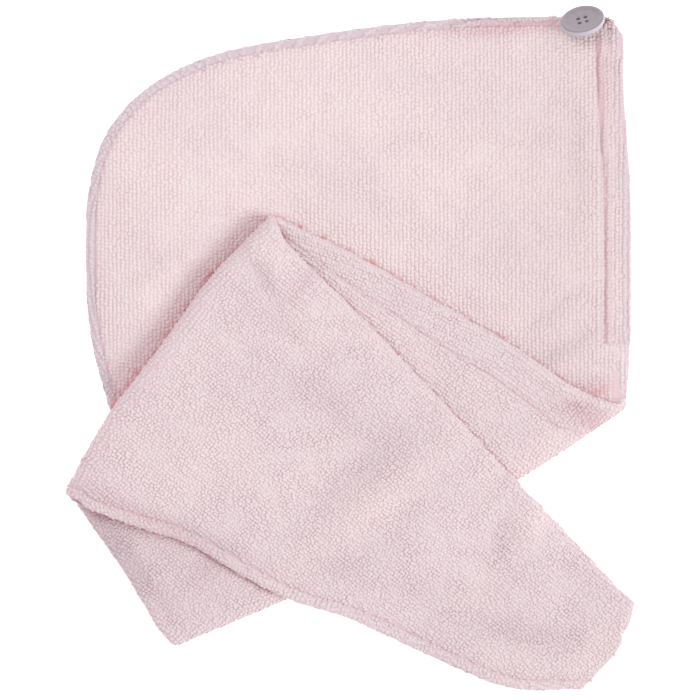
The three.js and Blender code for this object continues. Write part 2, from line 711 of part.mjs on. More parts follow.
function buttonGeometry() {
  const disc = new THREE.LatheGeometry(buttonProfile(), BUTTON_SIDES).rotateX(Math.PI / 2);
  let solid = solidFrom(disc);
  const radius = HOLE_DIAMETER / 2;
  for (const [x, y] of [[1, 1], [1, -1], [-1, 1], [-1, -1]]) {
    const bore = new THREE.CylinderGeometry(radius, radius, 2 * BUTTON_THICKNESS, HOLE_SIDES);
    bore.rotateX(Math.PI / 2).translate((x * HOLE_SPACING) / 2, (y * HOLE_SPACING) / 2, 0);
    solid = solid.subtract(solidFrom(bore));
  }
  const geometry = geometryFrom(solid);
  geometry.computeVertexNormals();
  return geometry;
}

// Thread shank: it leaves the cloth squarely and turns to meet the button's back squarely
function shankGeometry(foot, footAxis, backCentre, backAxis) {
  const start = foot.clone().addScaledVector(footAxis, THREAD_GAP);
  const end = backCentre.clone().addScaledVector(backAxis, -THREAD_GAP);
  const reach = start.distanceTo(end) / 3;
  const path = new THREE.CubicBezierCurve3(
    start,
    start.clone().addScaledVector(footAxis, reach),
    end.clone().addScaledVector(backAxis, -reach),
    end,
  );
  const outline = new THREE.Shape().absarc(0, 0, SHANK_DIAMETER / 2, 0, 2 * Math.PI);
  return new THREE.ExtrudeGeometry(outline, {
    steps: SHANK_STEPS,
    bevelEnabled: false,
    curveSegments: SHANK_SIDES / 2,
    extrudePath: path,
  });
}

// Point on top of the hood, and the square direction off it
function hoodTop(x, y) {
  const step = 0.5;
  const height = (px, py) => hoodLevels(px, py).upper + CLOTH / 2;
  const slopeX = (height(x + step, y) - height(x - step, y)) / (2 * step);
  const slopeY = (height(x, y + step) - height(x, y - step)) / (2 * step);
  return {
    point: new THREE.Vector3(x, y, height(x, y)),
    axis: new THREE.Vector3(-slopeX, -slopeY, 1).normalize(),
  };
}

const terry = new THREE.MeshStandardMaterial({ color: 0xead8db, roughness: 0.95, metalness: 0 });
const hemTerry = new THREE.MeshStandardMaterial({ color: 0xe4cfd3, roughness: 0.95, metalness: 0 });
const plastic = new THREE.MeshStandardMaterial({ color: 0xa1949c, roughness: 0.35, metalness: 0 });
const cotton = new THREE.MeshStandardMaterial({ color: 0xb8a6ad, roughness: 0.9, metalness: 0 });

const towel = new THREE.Group();

function addPiece(name, geometry, material) {
  const mesh = new THREE.Mesh(geometry, material);
  mesh.name = name;
  towel.add(mesh);
  return mesh;
}

addPiece("upper_panel", sheetGeometry(panelGrid(upperColumns), CLOTH), terry);
addPiece("lower_panel", sheetGeometry(panelGrid(lowerColumns), CLOTH, true), terry.clone());
addPiece("rim_hem_upper", hemGeometry(0), hemTerry);
addPiece("rim_hem_lower", hemGeometry(1), hemTerry.clone());

// The button leans out over the crown's edge, held off the seam by its shank
const tilt = THREE.MathUtils.degToRad(BUTTON_TILT_DEG);
const turn = THREE.MathUtils.degToRad(BUTTON_TURN_DEG);
const buttonAxis = new THREE.Vector3(
  -Math.sin(tilt) * Math.sin(turn),
  Math.sin(tilt) * Math.cos(turn),
  Math.cos(tilt),
);
const buttonX = BUTTON_X_SHARE * FOLDED_WIDTH;
const button = addPiece("button", buttonGeometry(), plastic);
button.position.set(buttonX, FOLDED_LENGTH - BUTTON_INSET, BUTTON_HEIGHT);
button.quaternion.setFromUnitVectors(new THREE.Vector3(0, 0, 1), buttonAxis);

const backCentre = button.position.clone().addScaledVector(buttonAxis, -BUTTON_THICKNESS / 2);
const foot = hoodTop(buttonX, FOLDED_LENGTH - SHANK_INSET);
addPiece("button_thread", shankGeometry(foot.point, foot.axis, backCentre, buttonAxis), cotton);

// The origin is under the middle of the whole towel, on the surface that it lies on
const box = new THREE.Box3().setFromObject(towel, true);
const middle = box.getCenter(new THREE.Vector3());
towel.position.set(-middle.x, -middle.y, -box.min.z);

export default towel;
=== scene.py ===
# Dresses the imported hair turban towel: terry cloth with its loops, sewn seams, hem, button and thread.
import math

import bmesh
import bpy
import numpy as np
from mathutils import Matrix, Vector, noise


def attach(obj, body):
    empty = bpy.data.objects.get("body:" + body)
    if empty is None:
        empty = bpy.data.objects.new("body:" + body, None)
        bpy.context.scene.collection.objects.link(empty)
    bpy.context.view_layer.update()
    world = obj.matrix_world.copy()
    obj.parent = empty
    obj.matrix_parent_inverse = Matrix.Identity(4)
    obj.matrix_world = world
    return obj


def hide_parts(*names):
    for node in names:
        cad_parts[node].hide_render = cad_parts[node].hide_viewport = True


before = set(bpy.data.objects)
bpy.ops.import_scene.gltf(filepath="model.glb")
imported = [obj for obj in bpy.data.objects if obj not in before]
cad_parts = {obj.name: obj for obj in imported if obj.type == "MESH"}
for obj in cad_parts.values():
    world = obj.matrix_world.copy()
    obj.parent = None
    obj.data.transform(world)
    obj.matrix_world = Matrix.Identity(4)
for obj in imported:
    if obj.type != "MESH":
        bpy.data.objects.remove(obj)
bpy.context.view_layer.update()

# Sizes of the towel in millimetres, as in the part's source
FOLDED_WIDTH = 278
FOLDED_LENGTH = 330
FRAME_SHIFT = np.array([138.592, 168.5015])
CLOTH = 1.8
PLY_GAP = 0.5
STACK_GAP = 1.4
SEAM_GAP = 0.3
SEAM_FILL = 0.6
HOOD_HOLLOW = 9
TAIL_HOLLOW = 0.8
HOOD_SLOPE = 45
TAIL_SLOPE = 25
FOLD_SLOPE = 35
PRESSED_SHARE = 0.8
PRESS_RUN = 60
PRESS_LEAD = 40
HOOD_STEP_RUN = 45
STACK_STEP_RUN = 42
ROLL_LOFT = 5
ROLL_RUN = 60
CROWN_SEAM_INSET = 4.6
FRONT_SEAM_INSET = 18
HEM_WIDTH = 13
HEM_CLOTH = 1.6
HEM_GAP = 0.3
NOTCH_SHARE = 0.67
NOTCH_DEPTH = 2.4
NOTCH_WIDTH = 5
EDGE_RISE = CLOTH + PLY_GAP + SEAM_FILL
EDGE_RADIUS = EDGE_RISE / 2

# Sizes of the stitched details, in millimetres
SEAM_ROUND = 0.9
SEAM_TURN_DEG = 62
SEAM_LAP = 0.35
RIM_ROUND = 1.0
ZONE_MARGIN = 3.4
STITCH_INSET = 12.6
TIP_ROWS = 4

# Sections across the tube, from the crown seam's edge to the front edge, in shares of the folded size
COLUMNS = ["crownX", "crownY", "frontX", "frontY", "bowA", "bowB", "bowC", "crownSeam", "frontSeam"]
HOOD_ROWS = [
    [0.945, 1.0, 0.9715, 0.975, 0.0015, 0.004, 0.003, 0.85, 1],
    [0.782, 1.0, 0.974, 0.941, 0, 0, 0, 1, 1],
    [0.617, 0.993, 0.976, 0.889, 0, 0, 0, 1, 1],
    [0.432, 0.973, 0.98, 0.831, 0, 0, 0, 1, 1],
    [0.269, 0.947, 0.985, 0.778, 0, 0, 0, 1, 1],
    [0.154, 0.903, 0.986, 0.742, 0, 0, 0, 1, 1],
    [0.079, 0.841, 0.987, 0.708, 0, 0, 0, 1, 1],
    [0.043, 0.765, 0.988, 0.674, 0, 0, 0, 1, 1],
    [0.033, 0.666, 0.988, 0.634, 0, 0, 0, 1, 1],
    [0.042, 0.529, 0.988, 0.582, -0.002, -0.002, -0.002, 1, 1],
    [0.084, 0.393, 0.987, 0.53, -0.005, -0.006, -0.006, 1, 1],
    [0.135, 0.237, 0.985, 0.479, -0.011, -0.013, -0.013, 1, 1],
    [0.19, 0.07, 0.981, 0.421, -0.018, -0.021, -0.021, 1, 1],
]
STRIP_ROWS = [
    HOOD_ROWS[-1],
    [0.16, 0.099, 0.889, 0.453, -0.012, -0.014, -0.014, 1, 1],
    [0.119, 0.157, 0.782, 0.514, -0.004, -0.004, -0.004, 1, 1],
    [0.076, 0.212, 0.656, 0.575, 0.004, 0.004, 0.004, 1, 0.92],
    [0.033, 0.262, 0.515, 0.643, 0.01, 0.01, 0.011, 1, 0.73],
    [0.0, 0.302, 0.36, 0.707, 0.018, 0.017, 0.019, 1, 0.35],
]
TAIL_ROWS = [
    STRIP_ROWS[-1],
    [0.044, 0.273, 0.39, 0.661, 0.012, 0.011, 0.012, 1.1, 0.35],
    [0.128, 0.247, 0.462, 0.601, 0.006, 0.005, 0.006, 1.3, 0.35],
    [0.216, 0.222, 0.543, 0.533, 0.002, 0.002, 0.002, 1.3, 0.35],
    [0.304, 0.178, 0.656, 0.433, 0, 0, 0, 1.3, 0.35],
    [0.39, 0.141, 0.787, 0.315, -0.003, -0.004, -0.003, 1.3, 0.35],
    [0.497, 0.111, 0.845, 0.265, -0.002, -0.003, -0.002, 1.3, 0.35],
    [0.62, 0.062, 0.91, 0.207, 0, 0, 0, 1.3, 0.35],
    [0.772, 0.009, 0.963, 0.159, 0, 0, 0, 1.2, 0.35],
    [0.903, 0.006, 0.996, 0.135, -0.01, -0.018, -0.014, 1, 0.35],
]

# Broad swells of each layer, as in the part's source: x, y, long, wide, turn in degrees, share of the height
SWELL_HEIGHT = 3.2
SWELLS = {
    "tail": [
        (0.37, 0.63, 0.07, 0.04, -45, 0.7), (0.33, 0.36, 0.16, 0.07, 60, 0.9),
        (0.62, 0.26, 0.15, 0.06, 50, 1), (0.81, 0.19, 0.11, 0.06, 50, 0.8),
        (0.52, 0.43, 0.09, 0.06, -20, 0.7), (0.7, 0.07, 0.12, 0.04, -25, 0.6),
    ],
    "hood": [
        (0.22, 0.76, 0.14, 0.09, 50, 0.8), (0.1, 0.56, 0.06, 0.05, 60, 0.5),
        (0.6, 0.8, 0.18, 0.1, -20, 0.4),
    ],
}

# Small dents and creases: x, y, half length, half width in millimetres, turn in degrees, height
CREASES = {
    "tail": [
        (95, 203, 17, 3.2, -62, -2.0), (106, 189, 13, 4, -38, -1.3), (108, 171, 15, 6, -30, -1.4),
        (124, 160, 11, 6, -30, -1.2), (99, 213, 12, 5, -50, 0.6), (143, 109, 34, 8, 42, -2.2),
        (157, 97, 38, 7, 40, 2.6), (128, 137, 26, 8, -36, -1.3), (180, 62, 26, 7, -24, 1.6),
        (212, 77, 12, 4.5, 72, -2.4), (230, 84, 15, 5, 62, 1.8), (222, 29, 34, 7, -8, -2.0),
        (250, 50, 12, 4, 40, -1.4), (70, 118, 20, 7, 30, 1.0), (200, 95, 12, 5, 50, -1.2),
        (172, 127, 12, 6, 40, -0.7), (216, 74, 16, 7, 55, -0.9), (131, 61, 14, 6, -20, -0.7),
        (168, 49, 18, 6, -20, -0.8), (258, 32, 20, 5, 32, -1.0), (173, 86, 20, 12, 15, 0.6),
        (94, 115, 16, 11, 50, 0.6), (227, 61, 14, 8, 40, 0.6), (66, 96, 18, 6, 20, -0.7),
    ],
    "hood": [
        (40, 206, 15, 4.5, 33, -1.5), (235, 186, 15, 3, 37, -1.4), (241, 167, 17, 3.5, 31, -1.8),
        (238, 177, 15, 3, 34, 1.0), (247, 258, 34, 6, 92, -1.3), (234, 296, 20, 7, 118, -1.0),
        (95, 246, 9, 3, 60, -0.5), (57, 204, 16, 6, -32, -0.7), (250, 240, 40, 8, 90, -0.4),
        (222, 172, 20, 9, 70, -0.4), (150, 262, 40, 14, 15, 0.4),
    ],
    "strip": [
        (212, 120, 20, 5, 35, 0.5), (70, 64, 22, 6, 40, -0.5),
    ],
}

# Patches of painted reddened shade, deeper pink where the cloth is pressed or folded: x, y, half length, half
# width, turn, share
REDDENED_SHADES = {
    "hood": [
        (215, 324, 36, 4, 3, 0.5), (262, 144, 14, 4, -25, 0.9), (262, 300, 5, 22, 0, 0.3),
    ],
    "strip": [
        (252, 136, 16, 4, -28, 0.9), (28, 95, 12, 9, -60, 0.6), (74, 66, 18, 6, 40, 0.4),
    ],
    "tail": [
        (40, 86, 34, 4, -26, 0.5), (123, 208, 4, 26, -42, 0.4),
    ],
}

# Patches of mauve grey, where the cloth turns away from the light: the same columns
SHADES = {
    "hood": [
        (214, 329.5, 34, 2.6, 2, 0.5), (264, 146, 7, 2, -25, 0.4), (247, 258, 34, 6, 92, 0.12),
        (246, 250, 80, 44, 90, 0.11), (241, 167, 17, 3.5, 31, 0.16), (235, 186, 15, 3, 37, 0.12),
        (40, 206, 15, 4.5, 33, 0.1),
    ],
    "strip": [
        (15, 90, 6, 3, -40, 0.7), (28, 68, 34, 5.5, -53, 0.42), (52, 58, 36, 22, -50, 0.12),
    ],
    "tail": [
        (143, 109, 34, 8, 42, 0.2), (95, 203, 17, 3.2, -62, 0.2), (106, 180, 14, 5, -34, 0.1),
        (128, 140, 22, 8, -36, 0.12), (212, 77, 12, 4.5, 72, 0.2), (222, 29, 34, 7, -8, 0.18),
        (131, 61, 14, 6, -20, 0.1), (168, 49, 18, 6, -20, 0.1), (70, 76, 42, 3.5, -27, 0.16),
    ],
}

# Painted highlights: patches where the cloth of the outer storeys is lighter again, on ridges facing the
# light: the same columns
PAINTED_HIGHLIGHTS = {
    "tail": [
        (157, 97, 38, 8, 40, -0.4), (230, 84, 15, 6, 62, -0.35), (262, 24, 26, 7, 45, -0.35),
        (70, 118, 24, 12, 30, -0.25), (99, 213, 12, 6, -50, -0.35),
    ],
    "strip": [
        (232, 118, 34, 7, 32, -0.35),
    ],
}

# Lines along the mouth: inset from the rim, half width, and height, share of painted reddened shade or share
# of flatness
HEM_HEIGHTS = [(STITCH_INSET, 1.2, -1.1), (8.2, 1.3, -0.5), (10.4, 1.3, 0.35), (5.6, 1.0, -0.5)]
HEM_PUCKERS = [(STITCH_INSET + 2.4, 2.6, 0.8)]
HEM_REDDENED_SHADES = [(10.9, 1.9, 0.2), (STITCH_INSET, 0.9, 0.5)]
HEM_PRESSED = [(STITCH_INSET, 1.1, 1), (5.6, 0.8, 0.7), (8.4, 0.8, 0.7)]
PUCKER_LENGTH = 2.6

# Painted shade in the cloth's tone: the outer storeys are greyer, and so are the crown's edge and the rim's
# edge, where the cloth rolls over
STOREY_SHADE = 0.3
RIM_SHADE = 0.5
CROWN_SHADE = 0.7
CROWN_SHADE_UNTIL = 225
SEAM_REDDENED_SHADE = 0.32
SEAM_PRESSED = 0.2

# Fineness of the cloth: from which section on, and how many steps up to the next such section
HOOD_STEPS = [(0, 12), (1, 88), (10, 42)]
STRIP_STEPS = [(0, 8), (1, 30), (4, 10)]
TAIL_STEPS = [(0, 10), (1, 56), (5, 58)]
FOLD_STEPS = 12
MAIN_STEPS = 100
WRAP_STEPS = 10
ARC_STEPS = 4
LINE_STEPS = 60


def table(rows):
    return [dict(zip(COLUMNS, row)) for row in rows]


def mix(a, b, share):
    return a + (b - a) * share


def rise(share):
    return np.sin(np.pi / 2 * np.clip(share, 0, 1))


def ease(share):
    t = np.clip(share, 0, 1)
    return t * t * (3 - 2 * t)


# Smooth curve through the values at whole places 0, 1, 2 and so on
def smooth(values, places):
    values = np.asarray(values, float)
    before = 2 * values[0] - values[1]
    after = 2 * values[-1] - values[-2]
    padded = np.concatenate([before[None], values, after[None]])
    last = len(values) - 1
    at = np.clip(np.atleast_1d(np.asarray(places, float)), 0, last)
    i = np.minimum(at.astype(int), last - 1)
    t = (at - i).reshape((-1,) + (1,) * (values.ndim - 1))
    a, b, c, d = (padded[i + k] for k in range(4))
    t2, t3 = t * t, t * t * t
    return (
        (2 * t3 - 3 * t2 + 1) * b
        + (t3 - 2 * t2 + t) * (c - a) / 2
        + (3 * t2 - 2 * t3) * c
        + (t3 - t2) * (d - b) / 2
    )


# A section's points in plan, at shares of the way from the crown edge to the front edge
def section_points(row, shares):
    crown = np.array([row["crownX"] * FOLDED_WIDTH, row["crownY"] * FOLDED_LENGTH])
    front = np.array([row["frontX"] * FOLDED_WIDTH, row["frontY"] * FOLDED_LENGTH])
    across = front - crown
    side = np.array([-across[1], across[0]]) / np.hypot(*across)
    bow = smooth([0, row["bowA"], row["bowB"], row["bowC"], 0], 4 * shares) * FOLDED_WIDTH
    return crown + shares[:, None] * across + bow[:, None] * side


def make_fold(row, loft):
    inner = (CLOTH + STACK_GAP + loft) / 2
    outer = inner + EDGE_RISE
    return {"row": row, "inner": inner, "outer": outer, "run": outer + CLOTH / 2}


hood_rows, strip_rows, tail_rows = table(HOOD_ROWS), table(STRIP_ROWS), table(TAIL_ROWS)
FIRST_FOLD = make_fold(hood_rows[-1], 0)
SECOND_FOLD = make_fold(strip_rows[-1], ROLL_LOFT)


def unit(vectors):
    return vectors / np.maximum(np.linalg.norm(vectors, axis=-1, keepdims=True), 1e-9)


# Unit vectors in plan from a fold's edge back over the cloth
def fold_inward(fold, shares, towards):
    step = 0.01
    along = unit(section_points(fold["row"], shares + step) - section_points(fold["row"], shares - step))
    inward = np.stack([-along[:, 1], along[:, 0]], axis=1)
    flip = np.where((inward * towards).sum(axis=1) < 0, -1, 1)
    return inward * flip[:, None]


def roll_points(fold, neighbour, shares):
    edge = section_points(fold["row"], shares)
    back = section_points(neighbour, shares) - edge
    inward = fold_inward(fold, shares, back)
    return edge + back * (fold["run"] / (back * inward).sum(axis=1))[:, None]


# One layer of the flat tube between two folds
class Storey:
    def __init__(self, rows, before, after, levels, closure):
        self.rows, self.before, self.after = rows, before, after
        self.levels, self.closure = levels, closure
        self.last = len(rows) - 1

    def points(self, place, shares):
        lines = [section_points(row, shares) for row in self.rows]
        if self.before:
            lines[0] = roll_points(self.before, self.rows[1], shares)
        if self.after:
            lines[-1] = roll_points(self.after, self.rows[-2], shares)
        return smooth(np.array(lines), place)[0]


def edge_line(rows, share):
    ends = np.array([section_points(row, np.array([float(share)]))[0] for row in rows])
    return smooth(ends, np.linspace(0, len(rows) - 1, LINE_STEPS + 1))


def fold_line(fold):
    return section_points(fold["row"], np.linspace(0, 1, LINE_STEPS + 1))


CROWN_LINE = edge_line(hood_rows, 0)
RIM_LINE = edge_line(hood_rows, 1)
STRIP_FRONT_LINE = edge_line(strip_rows, 1)
TAIL_CROWN_LINE = edge_line(tail_rows, 0)
TAIL_FRONT_LINE = edge_line(tail_rows, 1)
FIRST_FOLD_LINE = fold_line(FIRST_FOLD)
SECOND_FOLD_LINE = fold_line(SECOND_FOLD)


# Distances from plan points to a line, positive on the line's left side
def left_of(plan, line):
    start, run = line[:-1], line[1:] - line[:-1]
    to = plan[:, None, :] - start[None]
    share = np.clip((to * run).sum(axis=2) / (run * run).sum(axis=1), 0, 1)
    off = to - share[:, :, None] * run
    far = np.hypot(off[..., 0], off[..., 1])
    best = far.argmin(axis=1)
    pick = np.arange(len(plan))
    turn = run[best, 0] * off[pick, best, 1] - run[best, 1] * off[pick, best, 0]
    return np.where(turn < 0, -1, 1) * far[pick, best]


def bump_of(plan, x, y, long, wide, turn_deg):
    turn = math.radians(turn_deg)
    dx, dy = plan[:, 0] - x, plan[:, 1] - y
    along = (dx * math.cos(turn) + dy * math.sin(turn)) / long
    across = (dy * math.cos(turn) - dx * math.sin(turn)) / wide
    return np.exp(-along * along - across * across)


def swells(layer, plan):
    height = np.zeros(len(plan))
    for x, y, long, wide, turn, high in SWELLS[layer]:
        height += high * SWELL_HEIGHT * bump_of(
            plan, x * FOLDED_WIDTH, y * FOLDED_LENGTH, long * FOLDED_LENGTH, wide * FOLDED_WIDTH, turn
        )
    return height


# Unevenness: each layer's own place in the noise, and its waves' lengths and heights in millimetres
UNEVEN_SEEDS = {"hood": 3.1, "strip": 11.7, "tail": 23.9}
LONG_WAVE, LONG_HEIGHT = 26, 0.55
SHORT_WAVE, SHORT_HEIGHT = 9, 0.3
SHORT_LIFT = 5


# Creases and the slight unevenness of soft cloth
def creases(layer, plan):
    height = np.zeros(len(plan))
    for *place, high in CREASES[layer]:
        height += high * bump_of(plan, *place)
    lift = UNEVEN_SEEDS[layer]
    uneven = [
        LONG_HEIGHT * noise.noise((x / LONG_WAVE, y / LONG_WAVE, lift))
        + SHORT_HEIGHT * noise.noise((x / SHORT_WAVE, y / SHORT_WAVE, lift + SHORT_LIFT))
        for x, y in plan
    ]
    return height + np.array(uneven)


MOUTH_END_MARGIN = 6
MOUTH_END_RUN = 22


# 1 along the mouth and 0 where the first fold has closed it
def along_mouth(plan):
    return ease((plan[:, 1] - RIM_LINE[-1, 1] - MOUTH_END_MARGIN) / MOUTH_END_RUN)


def lines_at(inset, rows):
    return sum(share * np.exp(-(((inset - at) / half_width) ** 2)) for at, half_width, share in rows)


# The hem's stitched groove with its little puckers, along the mouth
def hem_relief(plan):
    inset = np.abs(left_of(plan, RIM_LINE))
    puckers = np.array([noise.noise((y / PUCKER_LENGTH, 7.7, 1.3)) for y in plan[:, 1]])
    return along_mouth(plan) * (lines_at(inset, HEM_HEIGHTS) + puckers * lines_at(inset, HEM_PUCKERS))


# Creases keep off a sewn edge by this margin and grow over this run, in millimetres
HOOD_CREASE_MARGIN, HOOD_CREASE_RUN = 3, 12
TAIL_CREASE_MARGIN, TAIL_CREASE_RUN = 2, 8
HEM_RELIEF_RUN = 10
STRIP_CREASE_SHARE = 0.6


def hood_hollow(plan):
    inside_crown = left_of(plan, CROWN_LINE)
    inside_fold = left_of(plan, FIRST_FOLD_LINE) - FIRST_FOLD["run"]
    under_strip = np.minimum(left_of(plan, STRIP_FRONT_LINE), -left_of(plan, SECOND_FOLD_LINE))
    pressed = PRESSED_SHARE * ease((under_strip + PRESS_LEAD) / PRESS_RUN)
    edges = rise(inside_crown / HOOD_SLOPE) * rise(inside_fold / FOLD_SLOPE)
    free = rise((inside_crown - HOOD_CREASE_MARGIN) / HOOD_CREASE_RUN) * (1 - pressed)
    hollow = edges * (HOOD_HOLLOW + swells("hood", plan)) * (1 - pressed)
    hemmed = hem_relief(plan) * rise(inside_crown / HEM_RELIEF_RUN)
    return np.maximum(0, hollow + creases("hood", plan) * free + hemmed)


def hood_levels(plan):
    lower = np.full(len(plan), CLOTH / 2)
    return lower + EDGE_RISE + hood_hollow(plan), lower


def strip_levels(plan):
    outside = np.maximum(0, -left_of(plan, CROWN_LINE))
    hood_top = hood_levels(plan)[0] + CLOTH / 2
    base = (hood_top + STACK_GAP) * (1 - ease(outside / HOOD_STEP_RUN))
    inside = np.minimum(
        np.minimum(
            left_of(plan, FIRST_FOLD_LINE) - FIRST_FOLD["run"],
            -left_of(plan, SECOND_FOLD_LINE) - SECOND_FOLD["run"],
        ),
        left_of(plan, STRIP_FRONT_LINE),
    )
    upper = base + CLOTH / 2
    creased = STRIP_CREASE_SHARE * creases("strip", plan) * rise(inside / TAIL_CREASE_RUN)
    return upper, upper + EDGE_RISE + np.maximum(0, TAIL_HOLLOW * rise(inside / TAIL_SLOPE) + creased)


def tail_levels(plan):
    inside_first = left_of(plan, FIRST_FOLD_LINE)
    inside_second = -left_of(plan, SECOND_FOLD_LINE)
    strip_top = strip_levels(plan)[1] + CLOTH / 2
    roll = ROLL_LOFT * (1 - ease((inside_second - SECOND_FOLD["run"]) / ROLL_RUN))
    base = (strip_top + STACK_GAP + roll) * (1 - ease(-inside_first / STACK_STEP_RUN))
    inside = np.minimum(
        np.minimum(left_of(plan, TAIL_CROWN_LINE), -left_of(plan, TAIL_FRONT_LINE)),
        inside_second - SECOND_FOLD["run"],
    )
    lower = base + CLOTH / 2
    hollow = (TAIL_HOLLOW + swells("tail", plan)) * rise(inside / TAIL_SLOPE)
    hollow = hollow + creases("tail", plan) * rise((inside - TAIL_CREASE_MARGIN) / TAIL_CREASE_RUN)
    return lower + EDGE_RISE + np.maximum(0, hollow), lower


CLOSING_FROM = 10
CLOSING_ROWS = len(HOOD_ROWS) - 1 - CLOSING_FROM
DRAW_BACK_END = 0.5
ROLL_START = 0.06
FRONT_ROLL_INSET = 3


def hood_closure(place):
    closing = (place - CLOSING_FROM) / CLOSING_ROWS
    lapped = min(max((closing - ROLL_START) / (1 - ROLL_START), 0), 1)
    return float(ease(closing / DRAW_BACK_END)), lapped


def sewn_closure(_place):
    return 1.0, 1.0


HOOD = Storey(hood_rows, None, FIRST_FOLD, hood_levels, hood_closure)
STRIP = Storey(strip_rows, FIRST_FOLD, SECOND_FOLD, strip_levels, sewn_closure)
TAIL = Storey(tail_rows, SECOND_FOLD, None, tail_levels, sewn_closure)


def edge_sine(storey, place, share, across):
    at = np.array([float(share)])
    before = storey.points(max(0, place - 0.05), at)[0]
    after = storey.points(min(storey.last, place + 0.05), at)[0]
    edge, way = unit(after - before), unit(across)
    return abs(edge[0] * way[1] - edge[1] * way[0])


# Mirror images of the plan about the two folds' chords, which unfold the towel into one flat cut
def mirror_in(fold, plan):
    ends = section_points(fold["row"], np.array([0.0, 1.0]))
    along = unit(ends[1] - ends[0])
    off = plan - ends[0]
    return ends[0] + 2 * (off @ along)[:, None] * along - off


SETTLE_RUN = 60


# How far the flat cut shifts near a fold, so that the pattern runs on across it
def settle(fold, plan, shares, before, after):
    edge = section_points(fold["row"], shares)
    away = np.linalg.norm(plan - edge, axis=1)
    return (before(edge) - after(edge)) * np.exp(-away / SETTLE_RUN)[:, None]


def hood_flat(plan, _shares):
    return plan


def strip_flat(plan, shares):
    fix = settle(FIRST_FOLD, plan, shares, lambda p: p, lambda p: mirror_in(FIRST_FOLD, p))
    return mirror_in(FIRST_FOLD, plan) + fix


def tail_flat(plan, shares):
    def unfold(p):
        return mirror_in(FIRST_FOLD, mirror_in(SECOND_FOLD, p))

    fix = settle(SECOND_FOLD, plan, shares, lambda p: mirror_in(FIRST_FOLD, p), unfold)
    return unfold(plan) + fix


HOOD.flat, STRIP.flat, TAIL.flat = hood_flat, strip_flat, tail_flat


# A section at which the tube is drawn, in one storey
class FlatStation:
    def __init__(self, storey, place):
        self.storey, self.place = storey, place
        ends = storey.points(place, np.array([0.0, 1.0]))
        across = ends[1] - ends[0]
        self.width = float(np.hypot(*across))
        upper, lower = self.sides(np.array([1 - FRONT_ROLL_INSET / self.width]))
        self.roll_radius = float(np.linalg.norm(upper - lower) / 2)
        self.crown_sine = edge_sine(storey, place, 0, across)
        self.front_sine = edge_sine(storey, place, 1, across)
        self.crown_seam = smooth([row["crownSeam"] for row in storey.rows], place)[0] * CROWN_SEAM_INSET
        self.front_seam = smooth([row["frontSeam"] for row in storey.rows], place)[0] * FRONT_SEAM_INSET
        self.drawn_back, self.lapped = storey.closure(place)

    def sides(self, shares):
        plan = self.storey.points(self.place, shares)
        upper, lower = self.storey.levels(plan)
        return np.column_stack([plan, upper]), np.column_stack([plan, lower])

    def flat(self, shares):
        return self.storey.flat(self.storey.points(self.place, shares), shares)


# A section part of the way round a fold
class FoldStation:
    def __init__(self, fold, before, after, turned, upper_inside):
        self.fold, self.before, self.after, self.turned = fold, before, after, turned
        self.radii = (fold["inner"], fold["outer"]) if upper_inside else (fold["outer"], fold["inner"])
        for name in ("width", "roll_radius", "crown_sine", "front_sine", "crown_seam", "front_seam"):
            setattr(self, name, mix(getattr(before, name), getattr(after, name), turned))
        self.drawn_back, self.lapped = before.drawn_back, before.lapped

    def sides(self, shares):
        edge = section_points(self.fold["row"], shares)
        angle = math.pi * self.turned
        made = []
        for a, b, radius in zip(self.before.sides(shares), self.after.sides(shares), self.radii):
            outward = -fold_inward(self.fold, shares, a[:, :2] - edge)
            plan = mix(a[:, :2], b[:, :2], self.turned) + outward * radius * math.sin(angle)
            made.append(np.column_stack([plan, mix(a[:, 2], b[:, 2], (1 - math.cos(angle)) / 2)]))
        return tuple(made)

    def flat(self, shares):
        return mix(self.before.flat(shares), self.after.flat(shares), self.turned)


def storey_stations(storey, stretches):
    places = []
    for i, (start, steps) in enumerate(stretches):
        end = stretches[i + 1][0] if i + 1 < len(stretches) else storey.last
        places += [mix(start, end, k / steps) for k in range(steps)]
    return [FlatStation(storey, place) for place in [*places, storey.last]]


def fold_stations(fold, before, after, upper_inside):
    return [FoldStation(fold, before, after, i / FOLD_STEPS, upper_inside) for i in range(1, FOLD_STEPS)]


hood_stations = storey_stations(HOOD, HOOD_STEPS)
strip_stations = storey_stations(STRIP, STRIP_STEPS)
tail_stations = storey_stations(TAIL, TAIL_STEPS)
STATIONS = [
    *hood_stations,
    *fold_stations(FIRST_FOLD, hood_stations[-1], strip_stations[0], True),
    *strip_stations,
    *fold_stations(SECOND_FOLD, strip_stations[-1], tail_stations[0], False),
    *tail_stations,
]

CROWN_ZONE_MOST = 0.68
FRONT_ZONE_MOST = 0.2


def zones(station):
    crown = station.crown_seam + ZONE_MARGIN
    front = mix(HEM_WIDTH, station.front_seam, station.drawn_back) + ZONE_MARGIN
    crown_scale = min(1, CROWN_ZONE_MOST * station.width * station.crown_sine / crown)
    front_scale = min(1, FRONT_ZONE_MOST * station.width * station.front_sine / front)
    return crown, front, crown_scale, front_scale


def crown_share(station, inset, plain=0.0):
    return (inset * zones(station)[2] + plain) / (station.crown_sine * station.width)


def front_share(station, inset, plain=0.0):
    return 1 - (inset * zones(station)[3] + plain) / (station.front_sine * station.width)


# How the cut end of a panel turns down into its seam: distances back from the seam, and depths
def seam_turn():
    most = math.radians(SEAM_TURN_DEG)
    turned = np.linspace(0, most, ARC_STEPS + 1)
    back = (SEAM_ROUND + CLOTH / 2) * math.sin(most) - SEAM_ROUND * np.sin(turned) - SEAM_LAP
    return back, SEAM_ROUND * (1 - np.cos(turned))


